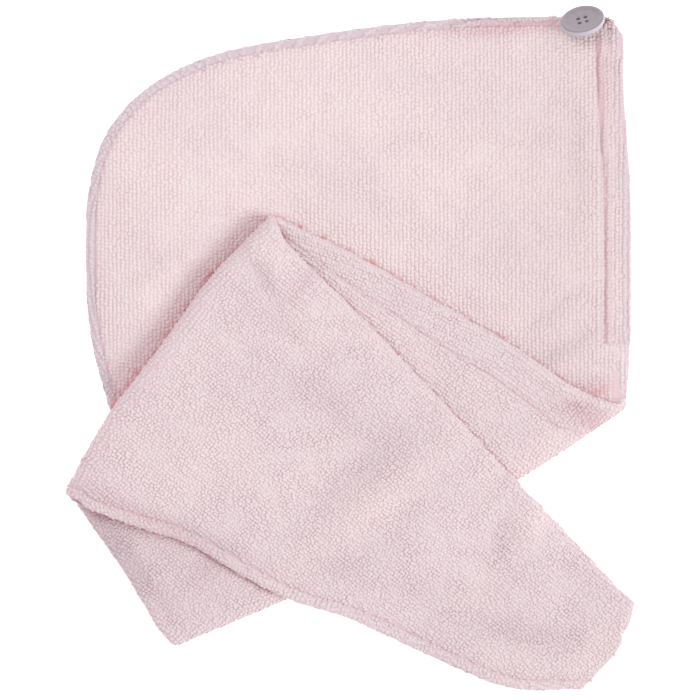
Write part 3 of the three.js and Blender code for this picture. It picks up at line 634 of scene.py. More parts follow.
# How the mouth's edge curls round: insets from the rim, and depths
def rim_turn(count):
    straight = count - ARC_STEPS - 1
    turned = [math.pi / 2 * i / ARC_STEPS for i in range(ARC_STEPS + 1)]
    curl = [CLOTH / 2 + RIM_ROUND * (1 - math.sin(a)) for a in turned]
    first = [mix(HEM_WIDTH + ZONE_MARGIN, curl[0], (i + 1) / (straight + 1)) for i in range(straight)]
    deep = [0.0] * straight + [RIM_ROUND * (1 - math.cos(a)) for a in turned]
    return np.array(first + curl), np.array(deep)


SEAM_BACK, SEAM_DEEP = seam_turn()
WRAP_ANGLES = np.linspace(0, math.pi, WRAP_STEPS + 1)
FRONT_COUNT = WRAP_STEPS + 1 + 3 + len(SEAM_BACK)


# The upper panel's front edge: a curled rim while the mouth is open, then rolled round by a growing angle,
# and at last turned right over with a lap that reaches the front seam
def roll_columns(station):
    rim_inset, rim_deep = rim_turn(FRONT_COUNT)
    if station.lapped == 0:
        zero = np.zeros(FRONT_COUNT)
        return rim_inset, zero, zero, rim_deep
    turned = min(2 * station.lapped, 1)
    lapping = max(2 * station.lapped - 1, 0)
    angle = math.pi * turned
    full = station.roll_radius
    arc = mix(CLOTH / 2 + full, math.pi * full, turned)
    radius = arc / angle
    lap = lapping * (station.front_seam - CLOTH / 2 - full)
    start = (radius + CLOTH / 2) * math.sin(min(angle, math.pi / 2))

    def along_path(along):
        at = np.minimum(along, arc) / radius
        inset = start - radius * np.sin(at) + np.maximum(0, along - arc)
        over = np.minimum(1, radius * (1 - np.cos(at)) / (2 * full))
        return inset, over

    even = along_path(np.linspace(0, arc + lap, FRONT_COUNT))
    zero = np.zeros(FRONT_COUNT)
    if lapping == 0:
        return even[0], even[1], zero, zero
    straight = max(0.0, lap - SEAM_BACK[0])
    body = np.concatenate([np.linspace(0, arc, WRAP_STEPS + 1), arc + straight * np.array([0.35, 0.7, 1.0])])
    inset, over = along_path(body)
    ends = len(SEAM_BACK)
    inset = np.concatenate([inset, np.full(ends, along_path(np.array([arc + lap]))[0][0])])
    over = np.concatenate([over, np.ones(ends)])
    plain = np.concatenate([np.zeros(len(body)), -SEAM_BACK])
    deep = np.concatenate([np.zeros(len(body)), -SEAM_DEEP])
    blend = float(ease(lapping))
    return mix(even[0], inset, blend), mix(even[1], over, blend), plain * blend, deep * blend


def main_shares(station):
    crown, front, _, _ = zones(station)
    ends = crown_share(station, crown), front_share(station, front)
    return np.linspace(ends[0], ends[1], MAIN_STEPS + 1)


# Columns across a panel: shares, levels from 0 on the upper side to 1 on the lower, and depths into the tube
def upper_columns(station):
    crown = crown_share(station, station.crown_seam, SEAM_BACK[::-1])
    main = main_shares(station)
    inset, over, plain, deep = roll_columns(station)
    front = front_share(station, inset, plain)
    return (
        np.concatenate([crown, main, front]),
        np.concatenate([np.zeros(len(crown) + len(main)), over]),
        np.concatenate([SEAM_DEEP[::-1], np.zeros(len(main)), deep]),
        len(crown),
        len(crown) + len(main) - 1,
    )


def lower_columns(station):
    lap = station.crown_seam
    around = CLOTH / 2 + EDGE_RADIUS * (1 - np.sin(WRAP_ANGLES[::-1]))
    over = (1 - np.cos(WRAP_ANGLES[::-1])) / 2
    end = crown_share(station, lap, -SEAM_BACK[::-1])
    bridge = crown_share(station, mix(CLOTH / 2 + EDGE_RADIUS, lap, 0.25))
    wrap = crown_share(station, around)
    main = main_shares(station)
    rim_inset, rim_deep = rim_turn(len(SEAM_BACK) + 4)
    sewn_inset = np.full(4 + len(SEAM_BACK), station.front_seam)
    sewn_plain = np.concatenate([np.linspace(ZONE_MARGIN, SEAM_BACK[0], 6)[1:-1], SEAM_BACK])
    sewn_deep = np.concatenate([np.zeros(4), SEAM_DEEP])
    drawn = station.drawn_back
    front = front_share(station, mix(rim_inset, sewn_inset, drawn), sewn_plain * drawn)
    plain = np.zeros(1 + len(wrap) + len(main))
    return (
        np.concatenate([end, [bridge], wrap, main, front]),
        np.concatenate([1 - np.ones(len(end) + 1), 1 - over, np.ones(len(main) + len(front))]),
        np.concatenate([SEAM_DEEP[::-1], plain, -mix(rim_deep, sewn_deep, drawn)]),
        len(end) + 1 + len(wrap),
        len(end) + len(wrap) + len(main),
    )


# Middle points of a panel and the place of each on the flat cut, a row for each station
def panel_grid(columns_of):
    points, flats = [], []
    for row, station in enumerate(STATIONS):
        shares, levels, deep, first, last = columns_of(station)
        upper, lower = station.sides(shares)
        through = unit(lower - upper)
        at = mix(upper, lower, levels[:, None]) + through * deep[:, None]
        flat = station.flat(shares)
        steps = np.linalg.norm(np.diff(at, axis=0), axis=1)
        crown_way = unit(flat[first] - flat[first + 4])
        front_way = unit(flat[last] - flat[last - 4])
        run = np.cumsum(steps[:first][::-1])[::-1]
        flat[:first] = flat[first] + crown_way * run[:, None]
        run = np.cumsum(steps[last:])
        flat[last + 1:] = flat[last] + front_way * run[:, None]
        left = len(STATIONS) - 1 - row
        if left < TIP_ROWS:
            at = close_tip(station, at, shares, levels, left)
        points.append(at)
        flats.append(flat)
    return np.array(points), np.array(flats)


# At the tip both panels bend towards each other, and the end narrows at a notch
def close_tip(station, at, shares, levels, left):
    bend = (1 - left / TIP_ROWS) ** 2
    spare = (EDGE_RISE - CLOTH - SEAM_GAP) / 2
    away = (shares - NOTCH_SHARE) * station.width / (NOTCH_WIDTH / 2)
    notch = NOTCH_DEPTH * np.exp(-away * away) * bend * math.sqrt(0.5)
    at[:, 2] += bend * spare * (2 * levels - 1)
    at[:, 0] -= notch
    at[:, 1] += notch
    return at


def to_frame(points):
    moved = points.copy()
    moved[..., :2] -= FRAME_SHIFT
    return moved * 0.001


def deselect():
    if bpy.context.object and bpy.context.object.mode != "OBJECT":
        bpy.ops.object.mode_set(mode="OBJECT")
    bpy.ops.object.select_all(action="DESELECT")


def make_active(piece):
    deselect()
    piece.select_set(True)
    bpy.context.view_layer.objects.active = piece


def add_mesh(name, vertices, faces, uvs=None):
    mesh = bpy.data.meshes.new(name)
    mesh.from_pydata([tuple(v) for v in vertices], [], faces)
    if uvs is not None:
        layer = mesh.uv_layers.new(name="flat_cut")
        places = np.asarray(uvs)[[loop.vertex_index for loop in mesh.loops]]
        layer.data.foreach_set("uv", places.astype(np.float32).ravel())
    mesh.update()
    piece = bpy.data.objects.new(name, mesh)
    bpy.context.scene.collection.objects.link(piece)
    return piece


def grid_faces(rows, columns, flipped):
    faces = []
    for r in range(rows - 1):
        for c in range(columns - 1):
            a, b = r * columns + c, r * columns + c + 1
            quad = (a, b, b + columns, a + columns)
            faces.append(quad[::-1] if flipped else quad)
    return faces


# Named values on the points of a mesh, which its material reads
def add_values(piece, values):
    for name, numbers in values.items():
        made = piece.data.attributes.new(name, "FLOAT", "POINT")
        made.data.foreach_set("value", np.asarray(numbers, np.float32).ravel())


# A sheet of cloth of a real thickness round a grid of middle points
def add_cloth(name, points, flats, thickness, flipped, values):
    rows, columns = points.shape[:2]
    piece = add_mesh(
        name,
        to_frame(points).reshape(-1, 3),
        grid_faces(rows, columns, flipped),
        flats.reshape(-1, 2) * 0.001,
    )
    add_values(piece, values)
    make_active(piece)
    solid = piece.modifiers.new("thickness", "SOLIDIFY")
    solid.thickness = thickness * 0.001
    solid.offset = 0
    solid.use_rim = True
    bpy.ops.object.modifier_apply(modifier="thickness")
    bpy.ops.object.shade_smooth()
    deselect()
    return piece


LAYERS = ["hood"] * len(hood_stations) + ["strip"] * (FOLD_STEPS - 1 + len(strip_stations))
LAYERS += ["tail"] * (FOLD_STEPS - 1 + len(tail_stations))
HOOD_ROW_COUNT = len(hood_stations)


# Where painted reddened shade and painted grey shade fall on the cloth, where painted highlights lift it, and
# how its loops are pressed, over a panel's grid
def cloth_values(points, seam_columns):
    rows, columns = points.shape[:2]
    blush, lilac, pressed, shade = (np.zeros((rows, columns)) for _ in range(4))
    for row, layer in enumerate(LAYERS):
        plan = points[row, :, :2]
        for patches, values in ((REDDENED_SHADES, blush), (SHADES, shade), (PAINTED_HIGHLIGHTS, lilac)):
            for *place, share in patches.get(layer, ()):
                values[row] += share * bump_of(plan, *place)
    # Painted grey shade over the outer storeys, which the painted highlights take back on ridges
    lilac[HOOD_ROW_COUNT:] += STOREY_SHADE
    plan = points[:HOOD_ROW_COUNT].reshape(-1, 3)[:, :2]
    shape = (HOOD_ROW_COUNT, columns)
    from_rim = np.abs(left_of(plan, RIM_LINE))
    near = along_mouth(plan)
    from_crown = left_of(plan, CROWN_LINE)
    # Painted grey shade along the rim's edge, and along the crown's edge on the left side
    left_side = ease((CROWN_SHADE_UNTIL - plan[:, 0]) / 60)
    edge = RIM_SHADE * ease((4.5 - from_rim) / 3) + CROWN_SHADE * left_side * ease((6.5 - from_crown) / 3)
    lilac[:HOOD_ROW_COUNT] += edge.reshape(shape)
    # Painted reddened shade beside the hem's groove here, and in the seams' grooves below
    blush[:HOOD_ROW_COUNT] += (near * lines_at(from_rim, HEM_REDDENED_SHADES)).reshape(shape)
    pressed[:HOOD_ROW_COUNT] += (near * lines_at(from_rim, HEM_PRESSED)).reshape(shape)
    for seam in seam_columns:
        away = np.abs(np.arange(columns) - seam)
        blush += SEAM_REDDENED_SHADE * np.exp(-((away / 3.5) ** 2))[None, :]
        pressed += SEAM_PRESSED * np.exp(-((away / 3.0) ** 2))[None, :]
    values = {"blush": blush, "lilac": lilac, "pressed": pressed, "shade": shade}
    return {name: np.clip(numbers, 0, 1) for name, numbers in values.items()}


MAP_CELL = 2.0
COVERED_BELOW = 4.0
GLOW_BELOW = 3.6
GLOW_RUN = 1.6
GLOW_UNDER = 0.6


# Outward unit vectors over a panel's grid
def outward_of(points, sign):
    normal = unit(np.cross(np.gradient(points, axis=1), np.gradient(points, axis=0)))
    centre = normal[HOOD_ROW_COUNT // 2, points.shape[1] // 2, 2]
    return normal * (sign * np.sign(centre))


def densely(points):
    halves = (points[:-1] + points[1:]) / 2
    both = np.concatenate([points, halves])
    return np.concatenate([both, (both[:, :-1] + both[:, 1:]) / 2], axis=1).reshape(-1, 3)


def cells_of(points):
    return tuple(np.moveaxis(np.floor(points[..., :2] / MAP_CELL).astype(int) + 8, -1, 0))


# How high the towel's top is over each small square of the plan
def height_map(clouds):
    cloud = np.concatenate(clouds)
    cells = cells_of(cloud)
    high = np.full((max(cells[0]) + 8, max(cells[1]) + 8), -9.0)
    np.maximum.at(high, cells, cloud[:, 2])
    return high


upper_points, upper_flats = panel_grid(upper_columns)
lower_points, lower_flats = panel_grid(lower_columns)
TOP_HEIGHTS = height_map([densely(upper_points), densely(lower_points)])


# Where light comes only through or off the next layer of cloth, which reddens it
def glow_of(points, outward):
    covered = ease((TOP_HEIGHTS[cells_of(points)] - GLOW_BELOW - points[..., 2]) / GLOW_RUN)
    facing_down = ease(-outward[..., 2] / 0.5) * ease((points[..., 2] - 3) / 2)
    return np.maximum(covered, GLOW_UNDER * facing_down)


# Share of loose fluff over rows of loops: more on the strip and the tail
HOOD_FLUFF, TAIL_FLUFF = 0.5, 0.85
# The panels' own surface stands low in the pile, which the material darkens as painted shade at the loops'
# feet
PANEL_PILE = 0.35


def panel_values(points, sign):
    columns = points.shape[1]
    values = cloth_values(points, (0, columns - 1))
    values["fluff"] = np.full(points.shape[:2], TAIL_FLUFF)
    values["fluff"][:HOOD_ROW_COUNT] = HOOD_FLUFF
    values["pile"] = np.full(points.shape[:2], PANEL_PILE)
    values["glow"] = glow_of(points, outward_of(points, sign))
    return values


upper_values, lower_values = panel_values(upper_points, 1), panel_values(lower_points, -1)
upper_panel = add_cloth("terry_upper_panel", upper_points, upper_flats, CLOTH, True, upper_values)
lower_panel = add_cloth("terry_lower_panel", lower_points, lower_flats, CLOTH, False, lower_values)


# The hem that is turned back inside the mouth starts and ends this far from the corner and the fold
HEM_CORNER_CLEARANCE = 13
HEM_FOLD_CLEARANCE = 33
HEM_STEPS = 10
# The hem lies under the rim: it gets some painted reddened shade, and reddened shade from the cloth above
HEM_VALUES = {"blush": 0.2, "lilac": 0, "fluff": 0.5, "pile": 0.4, "glow": 0.3, "shade": 0}
HEM_CURL = 0.8
HEM_CURL_DEPTH = 0.6


# Middle points of the hem under one panel's rim
def hem_grid(level):
    rim_end = hood_stations[-1].sides(np.array([1.0]))[1][0]
    curl = np.linspace(math.pi / 2, 0, 4)
    flat_part = np.linspace(HEM_CURL * 3, HEM_WIDTH, HEM_STEPS)
    insets = np.concatenate([CLOTH / 2 + HEM_CURL * (1 - np.sin(curl)), flat_part])
    curled = np.concatenate([HEM_CURL_DEPTH * (1 - np.cos(curl)), np.zeros(HEM_STEPS)])
    deep = CLOTH / 2 + HEM_GAP + HEM_CLOTH / 2 - curled
    points, flats = [], []
    for station in hood_stations:
        rim = station.sides(np.array([1.0]))[0][0]
        if left_of(rim[None, :2], CROWN_LINE)[0] <= HEM_CORNER_CLEARANCE:
            continue
        if rim[1] - rim_end[1] <= HEM_FOLD_CLEARANCE:
            continue
        shares = front_share(station, insets)
        upper, lower = station.sides(shares)
        base = (upper, lower)[level]
        points.append(base + unit(lower - upper) * (deep if level == 0 else -deep)[:, None])
        flats.append(station.flat(shares) + np.array([0.3, 0]))
    return np.array(points), np.array(flats)


for_upper, for_lower = hem_grid(0), hem_grid(1)


def hem_values(points):
    shape = points.shape[:2]
    return {name: np.full(shape, value) for name, value in HEM_VALUES.items()}


hem_upper = add_cloth("hem_upper", *for_upper, HEM_CLOTH, False, hem_values(for_upper[0]))
hem_lower = add_cloth("hem_lower", *for_lower, HEM_CLOTH, True, hem_values(for_lower[0]))


# ---- the pile: one loop of yarn, modelled once
def take_shape(piece):
    vertices = np.array([tuple(v.co) for v in piece.data.vertices])
    faces = [tuple(face.vertices) for face in piece.data.polygons]
    bpy.data.objects.remove(piece, do_unlink=True)
    return vertices, faces


def pick(piece, kind, wanted):
    bpy.ops.mesh.select_mode(type=kind)
    mesh = bmesh.from_edit_mesh(piece.data)
    for part in {"VERT": mesh.verts, "EDGE": mesh.edges, "FACE": mesh.faces}[kind]:
        part.select_set(False)
    for part in {"VERT": mesh.verts, "EDGE": mesh.edges, "FACE": mesh.faces}[kind]:
        if wanted(part):
            part.select_set(True)
    bmesh.update_edit_mesh(piece.data)


def model_loop():
    deselect()
    bpy.ops.mesh.primitive_cylinder_add(vertices=6, radius=1, depth=0.7, location=(0, 0, 0.15))
    piece = bpy.context.object
    bpy.ops.object.transform_apply(location=True, rotation=True, scale=True)
    bpy.ops.object.mode_set(mode="EDIT")
    pick(piece, "FACE", lambda face: face.normal.z < -0.9)
    bpy.ops.mesh.delete(type="ONLY_FACE")
    pick(piece, "FACE", lambda face: face.normal.z > 0.9)
    bpy.ops.transform.resize(value=(0.86, 0.86, 1))
    bpy.ops.mesh.poke()
    pick(piece, "VERT", lambda vertex: vertex.co.z > 0.4 and math.hypot(vertex.co.x, vertex.co.y) < 0.1)
    bpy.ops.transform.translate(value=(0, 0, 0.36))
    bpy.ops.object.mode_set(mode="OBJECT")
    return take_shape(piece)


# Distance between loops across and along the rows, the loop's share of it, and its least height off the floor
LOOP_PITCH = np.array([1.96, 1.74])
LOOP_SHARE = (0.58, 0.7)
FLOOR_CLEARANCE = 0.1

# The pile: height lost where pressed, patches of longer loops, shift of each row of loops, and the nap's lean
PRESSED_LOSS = 0.72
ROUGH_WAVE, ROUGH_SHARE = 11, 0.9
WALE_SEED, WALE_PHASE = 5, 0.4
NAP_LEAN = 0.25


# Two edges of each triangle, and twice its area
def edges_of(corners):
    first, second = corners[:, 1] - corners[:, 0], corners[:, 2] - corners[:, 0]
    area = first[:, 0] * second[:, 1] - first[:, 1] * second[:, 0]
    return first, second, np.where(np.abs(area) < 1e-9, 1e-9, area)


# The places of a lattice on the flat cut, as triangles of the grid with the share of each corner
def lattice_places(flats, pitch):
    rows, columns = flats.shape[:2]
    index = np.arange(rows * columns).reshape(rows, columns)
    a, b, c, d = index[:-1, :-1], index[:-1, 1:], index[1:, 1:], index[1:, :-1]
    triangles = np.concatenate([np.stack(corners, -1).reshape(-1, 3) for corners in ([a, b, c], [a, c, d])])
    corners = (flats.reshape(-1, 2) / pitch)[triangles]
    low, high = np.ceil(corners.min(axis=1)).astype(int), np.floor(corners.max(axis=1)).astype(int)
    first, second, area = edges_of(corners)
    picked, shares, places = [], [], []
    reach = np.clip((high - low).max(axis=0), 0, 6)
    for i in range(reach[0] + 1):
        for j in range(reach[1] + 1):
            at = low + [i, j]
            off = at - corners[:, 0]
            u = (off[:, 0] * second[:, 1] - off[:, 1] * second[:, 0]) / area
            v = (first[:, 0] * off[:, 1] - first[:, 1] * off[:, 0]) / area
            good = (at <= high).all(axis=1) & (u >= 0) & (v >= 0) & (u + v <= 1)
            picked.append(triangles[good])
            shares.append(np.stack([1 - u[good] - v[good], u[good], v[good]], axis=1))
            places.append(at[good])
    picked, shares, places = np.concatenate(picked), np.concatenate(shares), np.concatenate(places)
    _, kept = np.unique(places, axis=0, return_index=True)
    return picked[kept], shares[kept], places[kept] * pitch


def at_places(values, picked, shares):
    flat = values.reshape(-1, values.shape[-1]) if values.ndim == 3 else values.reshape(-1, 1)
    return (flat[picked] * shares[..., None]).sum(axis=1)


# Loops over the part of a panel that shows from above, as frames with a place, three axes and values
def loop_frames(points, flats, values, sign, high, rows, fine=1.0):
    rows = slice(*rows)
    outward = outward_of(points, sign)[rows]
    points, flats = points[rows], flats[rows]
    values = {name: v[rows] for name, v in values.items()}
    picked, shares, places = lattice_places(flats, LOOP_PITCH * fine)
    middle = at_places(points, picked, shares)
    up = unit(at_places(outward, picked, shares))
    shown = (middle[:, 2] > high[cells_of(middle)] - COVERED_BELOW) & (up[:, 2] > -0.25)
    picked, shares, places, middle, up = (v[shown] for v in (picked, shares, places, middle, up))
    one = points.reshape(-1, 3)[picked]
    first, second, area = edges_of(flats.reshape(-1, 2)[picked])
    across = (one[:, 1] - one[:, 0]) * second[:, 1:] - (one[:, 2] - one[:, 0]) * first[:, 1:]
    across = across / area[:, None]
    across = unit(across - up * (across * up).sum(axis=1, keepdims=True))
    along = np.cross(up, across)
    frames = {"place": middle + up * (CLOTH / 2), "across": across, "along": along, "up": up, "flat": places}
    frames["pitch"] = LOOP_PITCH * fine
    for name, v in values.items():
        frames[name] = at_places(v, picked, shares)[:, 0]
    return frames


# Copies of one small shape at many frames, each of its own size and lean
def add_loops(name, shape, frames, seed, fluffed, low, lean):
    vertices, faces = shape
    count = len(frames["place"])
    dice = np.random.default_rng(seed)
    size = dice.uniform(1 - fluffed, 1 + fluffed, count)
    tall = dice.uniform(1 - 1.4 * fluffed, 1 + 1.8 * fluffed, count) * (1 - PRESSED_LOSS * frames["pressed"])
    rough = np.array([noise.noise((x / ROUGH_WAVE, y / ROUGH_WAVE, seed)) for x, y in frames["flat"]])
    tall = tall * (1 + ROUGH_SHARE * rough)
    wale = np.round(frames["flat"][:, 0] / frames["pitch"][0]).astype(int)
    wale -= wale.min()
    phase = np.random.default_rng(WALE_SEED).uniform(-WALE_PHASE, WALE_PHASE, wale.max() + 1)[wale]
    shift = dice.normal(0, 0.1 + 0.5 * fluffed, (count, 2))
    shift[:, 1] += phase * frames["pitch"][1]
    way = dice.normal(0, lean, (count, 2))
    way[:, 1] += NAP_LEAN
    turn = dice.uniform(-0.5, 0.5, count) * (0.4 + fluffed)
    x, y, z = vertices.T
    cos, sin = np.cos(turn)[:, None], np.sin(turn)[:, None]
    wide, deep = frames["pitch"] * LOOP_SHARE
    u = (x * cos - y * sin) * wide * size[:, None] + shift[:, :1] + way[:, :1] * np.maximum(z, 0)[None]
    v = (x * sin + y * cos) * deep * size[:, None] + shift[:, 1:] + way[:, 1:] * np.maximum(z, 0)[None]
    w = np.where(z > 0, z * low * tall[:, None], z)
    made = frames["place"][:, None] + sum(
        size[..., None] * frames[axis][:, None] for size, axis in ((u, "across"), (v, "along"), (w, "up"))
    )
    made[..., 2] = np.maximum(made[..., 2], FLOOR_CLEARANCE)
    flat = frames["flat"][:, None] + np.stack([u, v], axis=-1)
    step = len(vertices)
    every = [tuple(i + k * step for i in face) for k in range(count) for face in faces]
    piece = add_mesh(name, to_frame(made.reshape(-1, 3)), every, flat.reshape(-1, 2) * 0.001)
    pile = np.clip((z + 0.2) / 1.05, 0, 1)[None] * np.ones((count, 1))
    values = {"pile": pile, "fluff": np.ones_like(pile)}
    for kind in ("blush", "lilac", "glow", "shade"):
        values[kind] = np.repeat(frames[kind][:, None], step, axis=1)
    add_values(piece, values)
    piece.data.polygons.foreach_set("use_smooth", [True] * len(piece.data.polygons))
    return piece


STRIP_ROW_END = HOOD_ROW_COUNT + FOLD_STEPS - 1 + len(strip_stations) + FOLD_STEPS // 2
HOOD_HALF = 44
FINE = 0.86
UPPER = (upper_points, upper_flats, upper_values, 1)
LOWER = (lower_points, lower_flats, lower_values, -1)
HOOD_PART = (HOOD_HALF - 1, HOOD_ROW_COUNT + 2)
STRIP_PART = (HOOD_ROW_COUNT, STRIP_ROW_END)
TAIL_PART = (STRIP_ROW_END - 1, len(STATIONS))

# The pieces of pile: name, panel, rows, fineness, seed, unevenness, height and lean
LOOP_PIECES = [
    ("loops_hood", UPPER, (0, HOOD_HALF), 1, 11, 0.13, 0.48, 0.2),
    ("loops_hood_low", UPPER, HOOD_PART, 1, 17, 0.13, 0.48, 0.2),
    ("loops_edge", LOWER, (0, HOOD_ROW_COUNT + 2), 1, 12, 0.15, 0.34, 0.3),
    ("loops_strip", LOWER, STRIP_PART, FINE, 13, 0.2, 0.58, 0.34),
    ("loops_lap", UPPER, STRIP_PART, FINE, 14, 0.2, 0.58, 0.34),
    ("loops_tail", UPPER, TAIL_PART, FINE, 15, 0.2, 0.6, 0.34),
    ("loops_tail_edge", LOWER, TAIL_PART, FINE, 16, 0.25, 0.42, 0.5),
]
LOOP = model_loop()
LOOPS = [
    add_loops(name, LOOP, loop_frames(*panel, TOP_HEIGHTS, rows, fine), *rest)
    for name, panel, rows, fine, *rest in LOOP_PIECES
]


# ---- the button and its thread
BUTTON_RADIUS = 10.8
BUTTON_THICKNESS = 3
BUTTON_RIM = 2
BUTTON_DISH = 0.8
HOLE_RADIUS = 0.95
HOLE_SPACING = 3.6
BUTTON_TILT = math.radians(50)
BUTTON_TURN = math.radians(15)
BUTTON_PLACE = (251.312, 327.6, 11.8)


def edit(piece):
    make_active(piece)
    bpy.ops.object.mode_set(mode="EDIT")
    bpy.ops.mesh.select_mode(type="FACE")
    bpy.ops.mesh.select_all(action="DESELECT")


def rim_edge(edge):
    level = abs(edge.verts[0].co.z - edge.verts[1].co.z) < 0.1
    return level and all(abs(math.hypot(v.co.x, v.co.y) - BUTTON_RADIUS) < 0.02 for v in edge.verts)


def model_button():
    deselect()
    bpy.ops.mesh.primitive_cylinder_add(vertices=64, radius=BUTTON_RADIUS, depth=BUTTON_THICKNESS)
    piece = bpy.context.object
    piece.name = "four_hole_button"
    edit(piece)
    pick(piece, "FACE", lambda face: face.normal.z > 0.9)
    bpy.ops.mesh.inset(thickness=BUTTON_RIM * 0.75)
    bpy.ops.mesh.inset(thickness=0.35, depth=-0.12)
    bpy.ops.mesh.inset(thickness=0.7, depth=-BUTTON_DISH + 0.2)
    bpy.ops.mesh.inset(thickness=2.2, depth=-0.08)
    pick(piece, "EDGE", rim_edge)
    bpy.ops.mesh.bevel(offset=0.9, segments=5)
    deselect()
    for x in (-1, 1):
        for y in (-1, 1):
            place = (x * HOLE_SPACING / 2, y * HOLE_SPACING / 2, 0)
            bpy.ops.mesh.primitive_cylinder_add(vertices=20, radius=HOLE_RADIUS, depth=9, location=place)
            drill = bpy.context.object
            make_active(piece)
            bore = piece.modifiers.new("hole", "BOOLEAN")
            bore.operation = "DIFFERENCE"
            bore.object = drill
            bpy.ops.object.modifier_apply(modifier="hole")
            bpy.data.objects.remove(drill, do_unlink=True)
            deselect()
    make_active(piece)
    rounding = piece.modifiers.new("rounding", "BEVEL")
    rounding.width = 0.3
    rounding.segments = 3
    rounding.limit_method = "ANGLE"
    rounding.angle_limit = math.radians(38)
    bpy.ops.object.modifier_apply(modifier="rounding")
    bpy.ops.object.shade_smooth_by_angle(angle=math.radians(40))
    # The side wall takes the second, paler resin: a painted highlight where the lit edge shows
    for face in piece.data.polygons:
        outside = math.hypot(face.center.x, face.center.y) > BUTTON_RADIUS - 0.9
        face.material_index = 1 if outside and face.center.z < BUTTON_THICKNESS / 2 - 0.35 else 0
    settle_button(piece)
    return piece


# Tilts a piece as the button lies, puts it in its place and makes it metres
def button_matrix():
    place = Vector(BUTTON_PLACE) - Vector((*FRAME_SHIFT, 0))
    return (
        Matrix.Scale(0.001, 4)
        @ Matrix.Translation(place)
        @ Matrix.Rotation(BUTTON_TURN, 4, "Z")
        @ Matrix.Rotation(-BUTTON_TILT, 4, "X")
    )


def settle_button(piece):
    piece.matrix_world = button_matrix()
    make_active(piece)
    bpy.ops.object.transform_apply(location=True, rotation=True, scale=True)
    deselect()


# A strand of thread along smooth points, in millimetres
def strand(points, radius, sides=6, steps=28):
    points = smooth(np.asarray(points, float), np.linspace(0, len(points) - 1, steps))
    ways = unit(np.gradient(points, axis=0))
    side = unit(np.cross(ways, np.array([0.31, 0.17, 0.93])))
    other = np.cross(ways, side)
    turns = np.linspace(0, 2 * math.pi, sides, endpoint=False)
    thick = radius * np.minimum(1, np.minimum(np.arange(steps) + 1.2, steps - np.arange(steps) + 0.2) / 2.5)
    cos, sin = np.cos(turns)[None, :, None], np.sin(turns)[None, :, None]
    rings = points[:, None] + thick[:, None, None] * (cos * side[:, None] + sin * other[:, None])
    vertices = rings.reshape(-1, 3)
    faces = [
        (k * sides + i, k * sides + (i + 1) % sides, (k + 1) * sides + (i + 1) % sides, (k + 1) * sides + i)
        for k in range(steps - 1)
        for i in range(sides)
    ]
    faces += [tuple(range(sides))[::-1], tuple((steps - 1) * sides + i for i in range(sides))]
    return vertices, faces


def join_strands(name, strands):
    vertices, faces, start = [], [], 0
    for points, made in strands:
        vertices.append(points)
        faces += [tuple(i + start for i in face) for face in made]
        start += len(points)
    piece = add_mesh(name, to_frame(np.concatenate(vertices)), faces)
    make_active(piece)
    bpy.ops.object.mode_set(mode="EDIT")
    bpy.ops.mesh.select_all(action="SELECT")
    bpy.ops.mesh.normals_make_consistent(inside=False)
    bpy.ops.object.mode_set(mode="OBJECT")
    bpy.ops.object.shade_smooth()
    deselect()
    return piece


SHANK_FOOT = np.array([252.0, 324.2, 4.6])
SHANK_STRANDS, STRAND_RADIUS = 4, 0.4
WOUND_POINTS, WOUND_STEP, WOUND_ROUND, WOUND_RADIUS = 61, 0.62, 1.15, 0.3

# The loose ends of thread beside the button: four points and the radius
LOOSE_ENDS = [
    ((257.5, 324.6, 5.2), (260.2, 325.4, 6.2), (261.9, 326.2, 5.8), (262.8, 324.1, 5.6), 0.26),
    ((260.4, 323.6, 5.6), (262.0, 326.0, 6.2), (263.6, 328.3, 5.4), (265.8, 328.9, 4.2), 0.22),
    ((259.0, 327.4, 4.6), (261.6, 328.4, 5.2), (264.0, 329.4, 4.9), (264.9, 330.4, 4.6), 0.18),
]


# Thread wound round the strands between the button's back and the seam, and its loose end beside it
def model_thread():
    axis = np.array([0, math.sin(BUTTON_TILT), math.cos(BUTTON_TILT)])
    cos, sin = math.cos(BUTTON_TURN), math.sin(BUTTON_TURN)
    axis = np.array([[cos, -sin, 0], [sin, cos, 0], [0, 0, 1]]) @ axis
    back = np.array(BUTTON_PLACE) - axis * (BUTTON_THICKNESS / 2)
    way = back - SHANK_FOOT
    far = np.linalg.norm(way)
    way = way / far
    side = unit(np.cross(way, np.array([1.0, 0, 0])))
    other = np.cross(way, side)
    strands = []
    for k in range(SHANK_STRANDS):
        angle = math.pi / 2 * k + 0.5
        off = side * math.cos(angle) + other * math.sin(angle)
        ends = SHANK_FOOT - way * 0.6 + off * 1.0, back + off * 1.0
        strands.append(strand([ends[0], SHANK_FOOT + way * far / 2 + off * 0.6, ends[1]], STRAND_RADIUS))
    wound = []
    for k in range(WOUND_POINTS):
        round_it = side * math.cos(k * WOUND_STEP) + other * math.sin(k * WOUND_STEP)
        up = 0.12 + 0.76 * k / (WOUND_POINTS - 1)
        wound.append(SHANK_FOOT + way * (far * up) + WOUND_ROUND * round_it)
    strands.append(strand(wound, WOUND_RADIUS, 6, 150))
    for *points, radius in LOOSE_ENDS:
        strands.append(strand(points, radius))
    return join_strands("sewing_thread", strands)


button = model_button()
thread = model_thread()


# ---- nodes and materials
def fill(tree, node, inputs):
    for key, value in inputs.items():
        if isinstance(value, bpy.types.NodeSocket):
            tree.links.new(value, node.inputs[key])
        else:
            node.inputs[key].default_value = value


def add_node(tree, kind, inputs=None, **settings):
    node = tree.nodes.new("ShaderNode" + kind)
    for name, value in settings.items():
        setattr(node, name, value)
    fill(tree, node, inputs or {})
    return node.outputs


def math_of(tree, operation, *inputs, clamp=False):
    return add_node(tree, "Math", dict(enumerate(inputs)), operation=operation, use_clamp=clamp)[0]


def vector_of(tree, operation, inputs):
    return add_node(tree, "VectorMath", inputs, operation=operation)[0]


